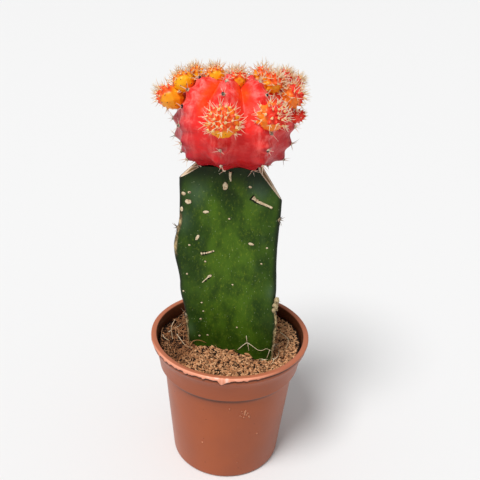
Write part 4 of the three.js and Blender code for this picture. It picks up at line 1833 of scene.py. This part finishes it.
@dataclass
class Soil:
    """The filling of coir with its crumbs and fibres."""

    pot: Pot
    stem: Rootstock
    level: float = 45.2
    relief: float = 0.35
    gap: float = 0.3
    rings: int = 64
    steps: int = 360
    crumbs: int = 9800
    fibres: int = 380
    long_fibres: int = 420
    fibre_reach: float = 24.2
    mounds: tuple[tuple[float, float, float, float], ...] = (
        (1.7, -8, -11, 8), (-0.9, 13, -10, 7), (-0.9, -17, 13, 9), (0.9, 21, 6, 9),
    )
    clods: float = 0.55
    grains: float = 0.25
    damp_crumbs: float = 0.35

    def height(self, x: float, y: float) -> float:
        """Works out the soil's top: a heap at the front left and hollows at the right and behind.

        Args:
            x: The place from the left.
            y: The place from the front.

        Returns:
            Its height there.
        """
        shape = sum(
            tall * math.exp(-((x - right) ** 2 + (y - back) ** 2) / spread**2)
            for tall, right, back, spread in self.mounds
        )
        crumbs = math.sin(2.1 * x + 0.7 * y) * math.cos(1.9 * y - 0.5 * x) + math.sin(1.1 * y - 2.6 * x)
        return self.level + shape + self.relief * 0.6 * crumbs

    def between(self, angle: float, share: float) -> Vector:
        """Finds a place between the stem and the wall.

        Args:
            angle: The angle round the axis.
            share: From 0 at the stem to 1 at the wall.

        Returns:
            The place on the plane.
        """
        inner = self.stem.surface(angle, self.level, self.gap)
        reach = self.pot.inside(self.gap)[2][0] + 0.1
        outer = turned(angle, reach)
        place = inner.lerp(outer, share)
        return Vector((place.x, place.y, 0))

    def bed(self) -> BMesh:
        """Makes the closed body of soil, which reaches down the wall and round the stem's foot.

        Returns:
            Its mesh.
        """
        floor, step, collar = self.pot.inside(self.gap)[:3]
        hole = self.stem.bottom - self.gap
        outline = [(0, hole), (1, hole), (1, self.level)]
        outline += [(1 + i / self.rings, self.level) for i in range(1, self.rings + 1)]
        outline += [(2, collar[1]), (2, step[1]), (2, floor[1]), (0, floor[1])]
        bm = revolve(outline, self.steps)
        walls = {collar[1]: collar[0], step[1]: step[0], floor[1]: floor[0]}
        for vertex in bm.verts:
            co = vertex.co
            spoke = math.hypot(co.x, co.y)
            angle = math.atan2(co.y, co.x)
            if spoke < 0.5:
                continue
            if co.z > self.level - 0.01:
                place = self.between(angle, spoke - 1)
                grain = self.grains * abs(lumps(place + Z_AXIS * 40, 0.9, 2))
                co.x, co.y = place.x, place.y
                co.z = self.height(place.x, place.y) + (self.clods * lumps(place, 2.6, 4) + grain)
            elif spoke < 1.5:
                place = self.stem.surface(angle, co.z, self.gap)
                co.x, co.y = place.x, place.y
            else:
                wall = turned(angle, walls[min(walls, key=lambda z: abs(z - co.z))])
                co.x, co.y = wall.x, wall.y
        stamp(bm, "tint", lambda co: 0.35 + 0.5 * lumps(co, 3.0, 2))
        return bm

    def dryness_and_light(self, place: Vector) -> float:
        """Works out how dry the soil is, with painted light and shade: golden at the front, lighter at the
        right, and dark at the left and behind.

        Args:
            place: The place on the soil.

        Returns:
            From 0 where it is damp to 1 where it is dry, and up to 1.8 at the right, which paints light.
        """
        right = smoothstep(place.x, 2, 16)
        front = smoothstep(-place.y, -2, 9) * smoothstep(place.x, -19, -10)
        # A hollow of painted shade left of the stem's foot.
        hollow = math.exp(-(((place.x + 13.5) / 2.2) ** 2) - ((place.y + 7) / 2.6) ** 2)
        # Raised to 1.8 at the right, which paints light into the stem's shadow there.
        return mix(1.8 * right, 1.0, front) * (1 - hollow)

    def spot(self, rng: random.Random) -> Vector:
        """Picks a place on the soil's top, as likely here as there.

        Args:
            rng: The random numbers.

        Returns:
            The place.
        """
        reach = self.pot.inside(self.gap)[2][0] - 0.6
        while True:
            place = turned(rng.uniform(0, TAU), reach * math.sqrt(rng.random()))
            from_stem = place - Vector((self.stem.x, self.stem.y, 0))
            if from_stem.length > self.stem.radius(math.atan2(from_stem.y, from_stem.x), self.level) + 0.5:
                place.z = self.height(place.x, place.y) + self.clods * lumps(place, 2.6, 4)
                return place

    def crumb_mesh(self, rng: random.Random) -> BMesh:
        """Makes the loose crumbs, fewer of them where the soil is damp.

        Args:
            rng: The random numbers.

        Returns:
            Their mesh.
        """
        repeats = Repeats(pebble_shape(1))
        for _ in range(self.crumbs):
            at = self.spot(rng)
            dry_and_lit = self.dryness_and_light(at)
            if rng.random() > mix(self.damp_crumbs, 1.0, dry_and_lit):
                continue
            size = 0.17 + 0.5 * rng.random() ** 2.4
            spin = Matrix.Rotation(rng.uniform(0, TAU), 3, "Z")
            spin @= Matrix.Rotation(rng.uniform(0, TAU), 3, "X")
            stretch = Vector((1.25, rng.uniform(0.45, 0.9), rng.uniform(0.35, 0.7))) * size
            reach: dict[tuple[float, ...], float] = {}

            def place(co: Vector) -> Vector:
                """Shapes a corner of this crumb.

                Args:
                    co: The corner's place on the pebble.

                Returns:
                    Its place on the soil.
                """
                key = tuple(round(value, 3) for value in co)
                if key not in reach:
                    reach[key] = 1 + rng.uniform(-0.28, 0.28)
                flat = Vector((co.x * stretch.x, co.y * stretch.y, co.z * stretch.z))
                return at + spin @ flat * reach[key]

            # Drier crumbs are lighter, so the raised value at the right paints light there.
            repeats.add(place, rng.random() * (0.5 + 0.5 * dry_and_lit) + 0.42 * dry_and_lit - 0.26)
        return repeats.gathered()

    def fibre_mesh(self, rng: random.Random) -> BMesh:
        """Makes the loose fibres of coir: short ones that lie flat and long ones that arch up.

        Args:
            rng: The random numbers.

        Returns:
            Their mesh.
        """
        repeats = Repeats(strand_shape(3, 7, 0.6))
        for i in range(self.fibres + self.long_fibres):
            arched = i >= self.fibres
            start = self.spot(rng)
            if arched and rng.random() < self.dryness_and_light(start):
                continue
            heading = rng.uniform(0, TAU)
            length = rng.uniform(4, 10) if arched else rng.uniform(1.2, 5.0)
            rise = rng.uniform(0.3, 2.6) if arched else rng.uniform(0.0, 0.4)
            turn = rng.uniform(-0.6, 0.6)
            points = [start]
            for step in range(4):
                here = points[-1] + turned(heading, length / 4)
                reach = min(1.0, self.fibre_reach / max(1e-6, math.hypot(here.x, here.y)))
                here = Vector((here.x * reach, here.y * reach, 0))
                here.z = self.height(here.x, here.y) + 0.4 + rise * math.sin(math.pi * (step + 1) / 4.5)
                points.append(here)
                heading += turn
            radius = rng.uniform(0.07, 0.13) if arched else rng.uniform(0.05, 0.1)
            repeats.add(bend_along(lambda t, p=points: along(p, t), radius), rng.random())
        return repeats.gathered()

    def root_mesh(self, rng: random.Random) -> BMesh:
        """Makes the thin pale roots that lie on the soil and against the stem.

        Args:
            rng: The random numbers.

        Returns:
            Their mesh.
        """
        lines = [
            [Vector((x, y, self.height(x, y) + rng.uniform(0.5, 1.0))) for x, y in line]
            for line in SOIL_ROOTS
        ]
        lines += [[self.stem.front(x, z, 0.25) for x, z in line] for line in STEM_ROOTS]
        repeats = Repeats(strand_shape(5, 20, 0.5))
        for line in lines:
            radius = rng.uniform(0.12, 0.16)
            repeats.add(bend_along(lambda t, line=line: along(line, t), radius), rng.uniform(0, 0.5))
        return repeats.gathered()

    def bark_mesh(self, rng: random.Random) -> BMesh:
        """Makes the few larger chips of bark.

        Args:
            rng: The random numbers.

        Returns:
            Their mesh.
        """
        repeats = Repeats(pebble_shape(2))
        for x, y, size in BARK_CHIPS:
            at = Vector((x, y, self.height(x, y) + 0.7))
            turn = Matrix.Rotation(rng.uniform(-0.5, 0.5), 3, "Z")
            turn @= Matrix.Rotation(rng.uniform(-0.4, 0.4), 3, "Y")

            def place(co: Vector) -> Vector:
                """Returns the place of a vertex of this chip."""
                rough = 1 + 0.25 * lumps(at + co, 0.8, 2)
                return at + turn @ Vector((co.x, co.y * 0.5, co.z * 0.45)) * size * rough

            repeats.add(place, rng.uniform(0.3, 0.6))
        return repeats.gathered()

    def build(self, effects: Effects) -> None:
        """Makes the soil and what lies loose on it.

        Args:
            effects: The shared effects.
        """
        rng = random.Random(17)
        # The bed is the darkest: painted shade in the gaps between the crumbs.
        bed = Coir("soil_bed", depth=1.35).material(effects)
        crumbs = Coir("soil_crumbs", depth=0.0).material(effects)
        fibres = Coir("soil_fibres", depth=0.3).material(effects)
        root = Horn("root", srgb(244, 228, 196), srgb(222, 198, 160), srgb(170, 140, 104)).material(effects)
        publish(self.bed(), "soil_bed", Slot.SOIL, [bed], ["soil"])
        publish(self.crumb_mesh(rng), "soil_crumbs", Slot.SOIL, [crumbs])
        publish(self.fibre_mesh(rng), "soil_fibres", Slot.SOIL, [fibres])
        publish(self.root_mesh(rng), "soil_roots", Slot.SOIL, [root])
        publish(self.bark_mesh(rng), "soil_bark", Slot.SOIL, [crumbs])


@dataclass
class Scion:
    """The red grafted head: eight humped ribs with an areole on each hump."""

    x: float = -1.9
    y: float = 0.8
    z: float = 123.3
    ribs: int = 8
    hump: float = 1.15
    first_rib: float = math.radians(-100)
    tilt: float = math.radians(-5)
    columns: int = 256
    rows: int = 176
    crest: Line = (
        (0, -11.8), (6.8, -12.1), (11.0, -12.3), (15.0, -9.7), (17.0, -5.1), (17.6, -0.2),
        (16.8, 4.8), (14.9, 9.1), (11.6, 12.2), (7.6, 13.6), (3.6, 12.6), (0, 11.4),
    )
    valley: Line = (
        (0, -11.8), (6.2, -12.0), (10.3, -11.7), (14.1, -8.8), (15.8, -4.5), (15.8, -0.2),
        (14.1, 3.9), (11.8, 7.3), (9, 9.9), (6.2, 11.3), (3, 11.6), (0, 11.4),
    )
    first_areole: int = 2
    last_areole: int = 9
    spine_form: SpineForm = SpineForm(2.6, 1.5, 0.12)
    old_wool: tuple[float, ...] = (0.2, 0.3, 0.42, 0.55)
    swelling: float = 0.24
    ripple: float = 0.08

    def __post_init__(self) -> None:
        """Works out what every point of the head needs."""
        self.middle = Vector((self.x, self.y, self.z))
        self.lean = Matrix.Rotation(self.tilt, 3, "X")
        self.crest_points = [Vector(p) for p in self.crest]
        self.valley_points = [Vector(p) for p in self.valley]
        self.steps = len(self.crest) - 1
        self.widest = max(radius for radius, _ in self.crest)

    def ridge(self, angle: float) -> float:
        """Returns 1 on a rib's crest and 0 in a valley."""
        return abs(math.cos(self.ribs / 2 * (angle - self.first_rib)))

    def point(self, angle: float, place: float, grow: float = 0.0) -> Vector:
        """Finds a point of the head.

        Args:
            angle: The angle round the head.
            place: From 0 at the base to 1 at the crown.
            grow: How far the point stands proud.

        Returns:
            The point.
        """
        crest = along(self.crest_points, place)
        valley = along(self.valley_points, place)
        ridge = self.ridge(angle)
        step = place * self.steps
        shown = smoothstep(step, 1.2, 3) * (1 - smoothstep(step, 9, 9.8))
        hump = self.hump * shown * ridge**3 * math.cos(math.pi * step) ** 2
        flank = mix(1 - math.sqrt(1 - ridge**2), ridge**0.75, smoothstep(step, 3.5, 6.5))
        across = valley.lerp(crest, flank)
        across = across.normalized() * (across.length + hump + grow)
        return self.lean @ turned(angle, across.x, across.y) + self.middle

    def skin(self) -> BMesh:
        """Makes the head's skin.

        Returns:
            The mesh, with what the material reads kept on its vertices.
        """
        bm = ball(self.columns, self.rows)
        layers = number_layers(bm, "ridge", "height", "tooth", "side")
        ridge_layer, height_layer, tooth_layer, side_layer = layers
        for vertex in bm.verts:
            angle = math.atan2(vertex.co.y, vertex.co.x) + self.first_rib
            place = math.acos(min(1.0, max(-1.0, -vertex.co.z))) / math.pi
            vertex.co = self.point(angle, place)
            swell = self.swelling * lumps(vertex.co, 5, 2) + self.ripple * lumps(vertex.co, 1.6, 2)
            vertex.co += (vertex.co - self.middle).normalized() * swell
            vertex[side_layer] = (vertex.co.x - self.x) / self.widest
            vertex[ridge_layer] = self.ridge(angle)
            vertex[tooth_layer] = self.ridge(angle) ** 6 * math.cos(math.pi * place * self.steps) ** 4
            vertex[height_layer] = (vertex.co.z - self.z + 12) / 26
        return recalculated(bm)

    def areole_feet(self) -> list[tuple[Vector, Vector]]:
        """Finds the areoles, one on each hump.

        Returns:
            The foot of each, and the way out from it.
        """
        feet = []
        for rib in range(self.ribs):
            angle = self.first_rib + rib * TAU / self.ribs
            for step in range(self.first_areole, self.last_areole + 1):
                foot = self.point(angle, step / self.steps)
                feet.append((foot, (foot - self.middle).normalized()))
        return feet

    def build(self, effects: Effects) -> None:
        """Makes the head with its areoles.

        Args:
            effects: The shared effects.
        """
        skin = ScionSkin("scion_skin").material(effects)
        publish(self.skin(), "scion_skin", Slot.SCION, [skin], ["scion"])
        rng = random.Random(5)
        areoles = Areoles(rng, pebble_shape(2), strand_shape(4, 4, 0.08, 1.5))
        for foot, outwards in self.areole_feet():
            areoles.tuft(foot, outwards, 0.5, rng.uniform(0.0, 0.2))
            nudge = Vector((rng.uniform(-0.25, 0.25), 0, rng.uniform(-0.3, 0.1)))
            old = foot + nudge + outwards * 0.15
            areoles.tuft(old, outwards, rng.choice(self.old_wool), rng.uniform(0.6, 1.0))
            areoles.star(foot, outwards, rng.randint(3, 5), self.spine_form)
        wool = Felt("scion_wool", srgb(206, 188, 160), srgb(24, 20, 20))
        horn = Horn("scion_spine", srgb(226, 180, 150), srgb(240, 216, 196), srgb(84, 68, 62))
        areoles.publish("scion", Slot.SCION, wool, horn, effects)


FACING_FRONT = Vector((0.3, -0.85, -0.43))
FACING_DOWN = Vector((0.0, -0.3, -0.95))


@dataclass
class Offset:
    """A small tubercled head on the scion, with its own colour and spines."""

    name: str
    at: tuple[float, float, float]
    wide: float
    tall: float
    ribs: int
    slot: Slot
    wool: float = 0.3
    knob: float = 0.6
    spines: int = 3
    spine_length: float = 2.1
    spine_spread: float = 0.7
    spine_radius: float = 0.142
    bare: float = 1.1
    bare_side: Vector = field(default_factory=lambda: FACING_FRONT)
    ripe: float = 1.0
    dots: float = 0.45
    dot_size: float = 0.16
    lift: float = 3.0
    stud_height: float = 0.27
    stud_step: float = math.radians(20)
    lowest_row: int = 6
    buried_reach: float = 15.5
    buried_level: float = 10.0
    columns: int = 84
    rows: int = 60

    def __post_init__(self) -> None:
        """Places the offset's middle."""
        self.middle = Vector(self.at)

    def orient(self, scion: Scion) -> None:
        """Turns the offset's axis out of the scion and a little upwards."""
        self.axis = (self.middle - scion.middle + Z_AXIS * self.lift).normalized()
        self.turn = Z_AXIS.rotation_difference(self.axis).to_matrix()

    def stud(self, around: float, down: float) -> float:
        """Returns 1 on the tip of a tubercle and 0 between four of them."""
        return (1 + math.cos(self.ribs * around) * math.cos(math.pi * down / self.stud_step)) / 2

    def point(self, around: float, down: float, grow: float = 0.0) -> Vector:
        """Finds a point of the offset.

        Args:
            around: The angle round its axis.
            down: The angle down from its tip.
            grow: How far the point stands proud.

        Returns:
            The point.
        """
        shown = smoothstep(down, 0.1, 0.3)
        flat = turned(around, self.wide * math.sin(down), self.tall * math.cos(down))
        stud = self.stud(around, down) ** 2 * (1 - 0.75 * self.bareness(self.turn @ flat.normalized()))
        local = flat * (1 + self.stud_height * (shown * stud - 0.35))
        local = local.normalized() * (local.length + grow)
        return self.turn @ local + self.middle

    def bareness(self, outwards: Vector) -> float:
        """Returns 1 on the smooth side that some offsets have, and 0 away from it."""
        return smoothstep(outwards.dot(self.bare_side), self.bare - 0.45, self.bare)

    def skin(self) -> BMesh:
        """Makes the offset's skin.

        Returns:
            The mesh, with its studs and its mellow parts kept for the material.
        """
        bm = ball(self.columns, self.rows)
        mellow_layer, stud_layer = number_layers(bm, "mellow", "stud")
        for vertex in bm.verts:
            down = math.acos(min(1.0, max(-1.0, vertex.co.z)))
            around = math.atan2(vertex.co.y, vertex.co.x)
            vertex.co = self.point(around, down)
            outwards = (vertex.co - self.middle).normalized()
            vertex.co += outwards * 0.07 * lumps(vertex.co, 1.6, 2)
            vertex[mellow_layer] = self.ripe * max(smoothstep(down, 0.5, 2.2), self.bareness(outwards))
            vertex[stud_layer] = self.stud(around, down) ** 2 * smoothstep(down, 0.1, 0.3)
        return recalculated(bm)

    def areole_places(self, rng: random.Random) -> list[tuple[float, float]]:
        """Finds the areoles: one on the crown and one on each stud.

        Args:
            rng: The random numbers.

        Returns:
            The angles of each, round the axis and down from the tip.
        """
        places = [(0.0, 0.0)]
        for row in range(1, self.lowest_row + 1):
            for rib in range(self.ribs):
                around = (rib + (row % 2) / 2) * TAU / self.ribs + rng.uniform(-0.1, 0.1)
                places.append((around, (row + rng.uniform(-0.15, 0.15)) * self.stud_step))
        return places

    def dress(self, scion: Scion, areoles: Areoles) -> None:
        """Adds the offset's areoles to those of all offsets.

        Args:
            scion: The head that it grows on.
            areoles: Where they are gathered.
        """
        rng = areoles.rng
        form = SpineForm(self.spine_length, self.spine_spread, self.spine_radius)
        for around, down in self.areole_places(rng):
            foot = self.point(around, down)
            outwards = (foot - self.middle).normalized()
            if (foot - scion.middle).length < self.buried_reach and foot.z < scion.z + self.buried_level:
                continue
            if self.bareness(outwards) > 0.6:
                if rng.random() < self.dots:
                    areoles.tuft(foot, outwards, self.dot_size, 1.0)
                continue
            size = self.wool * rng.uniform(0.8, 1.2)
            areoles.tuft(foot, outwards, size, rng.uniform(0, 0.2), self.knob)
            areoles.star(foot, outwards, self.spines, form)


OFFSETS = (
    Offset(
        "pup_front", (-4.6, -17.0, 127.0), 4.3, 4.5, 8, Slot.ORANGE, wool=0.42, knob=0.8,
        spine_radius=0.13, bare=0.8, bare_side=FACING_DOWN,
    ),
    Offset(
        "pup_front_right", (8.9, -13.9, 128.5), 3.9, 4.2, 8, Slot.RED, wool=0.38, knob=0.8,
        spine_radius=0.13, bare=0.85, bare_side=FACING_DOWN, ripe=1.7, spine_length=1.95,
    ),
    Offset("pup_left", (-20.4, -2.4, 130.3), 3.3, 4.2, 7, Slot.ORANGE, stud_height=0.21, bare=0.6),
    Offset("pup_left_crown", (-16.7, -2.2, 135), 3.1, 3, 7, Slot.YELLOW, stud_height=0.15, bare=0.5),
    Offset("pup_left_small", (-13.2, 1.6, 136.6), 2.2, 2.4, 6, Slot.YELLOW, bare=0.9),
    Offset("pup_crown_left", (-7.6, -1.6, 137), 2.8, 2.7, 7, Slot.YELLOW, stud_height=0.18, bare=0.65),
    Offset("pup_crown_middle", (-1.2, -5.0, 136.8), 2.7, 2.6, 7, Slot.ORANGE, bare=0.9),
    Offset("pup_crown_right", (5.9, -0.6, 137.4), 2.5, 2.5, 6, Slot.ORANGE),
    Offset("pup_right_inner", (9.0, -3.4, 135.9), 2.8, 2.9, 7, Slot.ORANGE, spine_length=2.5),
    Offset("pup_right", (14.9, -2.6, 132.3), 3.3, 3.3, 7, Slot.RED),
    Offset("pup_right_top", (12.2, 2.0, 136.4), 2.5, 2.6, 6, Slot.RED),
    Offset("pup_right_small", (16.2, 3.6, 134.9), 2.0, 2.2, 6, Slot.RED),
    Offset(
        "pup_right_low", (16.6, -1.0, 126.1), 1.9, 2.7, 6, Slot.RED, spines=1, spine_length=1.0,
        wool=0.16, ripe=0.0, stud_height=0.34,
    ),
    Offset("pup_back_left", (-12.2, 10.6, 132.1), 2.9, 3.0, 7, Slot.ORANGE),
    Offset("pup_back_crown", (-3.0, 9.4, 133.8), 2.5, 2.6, 6, Slot.YELLOW),
    Offset("pup_back", (3.6, 16.0, 129.6), 3.3, 3.4, 7, Slot.ORANGE),
    Offset("pup_back_right", (11.0, 10.8, 131.0), 2.7, 2.9, 6, Slot.RED),
)

OFFSET_SKINS = {
    Slot.YELLOW: OffsetSkin("offset_yellow", srgb(246, 140, 24), srgb(250, 176, 14), srgb(224, 40, 30)),
    Slot.ORANGE: OffsetSkin("offset_orange", srgb(250, 98, 30), srgb(250, 160, 20), srgb(234, 50, 34)),
    Slot.RED: OffsetSkin("offset_red", srgb(238, 60, 36), srgb(250, 130, 34), srgb(220, 34, 34)),
}


def build_offsets(scion: Scion, effects: Effects) -> None:
    """Makes the offsets, and the wool and spines of all of them.

    Args:
        scion: The head that they grow on.
        effects: The shared effects.
    """
    rng = random.Random(23)
    areoles = Areoles(rng, pebble_shape(1), strand_shape(3, 4, 0.2, 1.5))
    skins = {slot: finish.material(effects) for slot, finish in OFFSET_SKINS.items()}
    for offset in OFFSETS:
        offset.orient(scion)
        publish(offset.skin(), offset.name + "_skin", offset.slot, [skins[offset.slot]], [offset.name])
        offset.dress(scion, areoles)
    wool = Felt("offset_wool", srgb(255, 214, 144), srgb(60, 36, 22))
    horn = Horn("offset_spine", srgb(255, 222, 170), srgb(252, 236, 210), srgb(222, 192, 156))
    areoles.publish("offset", Slot.ORANGE, wool, horn, effects)


@dataclass(frozen=True)
class Studio:
    """The pale floor, the soft light and the camera at the photograph's angle."""

    eye: tuple[float, float, float] = (0.0, -0.18163, 0.16826)
    pitch: float = math.radians(24.786)
    yaw: float = 0.0103
    roll: float = 0.0491
    lens: float = 45.83
    sensor: float = 36.0
    clip: tuple[float, float] = (0.01, 50.0)
    floor_size: float = 6.0
    floor_colour: Colour = (0.84, 0.84, 0.84)
    floor_roughness: float = 0.9
    sky_colour: Colour = (1, 1, 1)
    light_from: tuple[float, float, float] = (-0.36, -0.5, 1.0)
    light_angle: float = math.radians(24)
    light_strength: float = 2.65
    sky_strength: float = 0.4
    sky_seen: float = 0.88

    def camera(self) -> None:
        """Places the camera that the photograph was matched with."""
        level = math.cos(self.pitch)
        forwards = Vector((math.sin(self.yaw) * level, math.cos(self.yaw) * level, -math.sin(self.pitch)))
        right = Vector((math.cos(self.yaw), -math.sin(self.yaw), 0))
        up = right.cross(forwards)
        across = right * math.cos(self.roll) + up * math.sin(self.roll)
        upwards = up * math.cos(self.roll) - right * math.sin(self.roll)
        data = bpy.data.cameras.new("photo_camera")
        data.lens = self.lens
        data.sensor_width = self.sensor
        data.clip_start, data.clip_end = self.clip
        camera = linked("photo_camera", data)
        rows = Matrix((across, upwards, -forwards)).transposed().to_4x4()
        camera.matrix_world = Matrix.Translation(Vector(self.eye)) @ rows
        bpy.context.scene.camera = camera

    def floor(self) -> None:
        """Lays the floor."""
        bm = bmesh.new()
        bmesh.ops.create_grid(bm, x_segments=1, y_segments=1, size=self.floor_size)
        floor = linked("floor", stored(bm, "floor"))
        paint = bpy.data.materials.new("floor_paint")
        paint.use_nodes = True
        shader = paint.node_tree.nodes["Principled BSDF"]
        shader.inputs["Base Color"].default_value = rgba(self.floor_colour)
        shader.inputs["Roughness"].default_value = self.floor_roughness
        floor.data.materials.append(paint)

    def light(self) -> None:
        """Hangs one broad soft light and sets the pale surroundings."""
        data = bpy.data.lights.new("soft_light", "SUN")
        data.angle = self.light_angle
        data.energy = self.light_strength
        lamp = linked("soft_light", data)
        lamp.rotation_mode = "QUATERNION"
        lamp.rotation_quaternion = Vector(self.light_from).to_track_quat("Z", "Y")
        world = bpy.data.worlds.new("pale_room")
        bpy.context.scene.world = world
        world.use_nodes = True
        background = world.node_tree.nodes["Background"]
        bench = Bench(world.node_tree)
        seen = bench.add("ShaderNodeLightPath").outputs["Is Camera Ray"]
        bench.feed(background.inputs["Color"], rgba(self.sky_colour))
        bench.feed(background.inputs["Strength"], bench.spread(seen, self.sky_strength, self.sky_seen))
        bpy.context.scene.view_settings.view_transform = "Standard"

    def build(self) -> None:
        """Makes the studio."""
        self.camera()
        self.floor()
        self.light()


def main() -> None:
    """Builds the studio and the pieces in order."""
    logging.basicConfig(level=logging.INFO, format="%(message)s")
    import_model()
    Studio().build()
    effects = Effects()
    pot = Pot()
    stem = Rootstock()
    scion = Scion()
    pot.build(effects)
    Soil(pot, stem).build(effects)
    stem.build(effects)
    scion.build(effects)
    build_offsets(scion, effects)


if __name__ == "__main__":
    main()
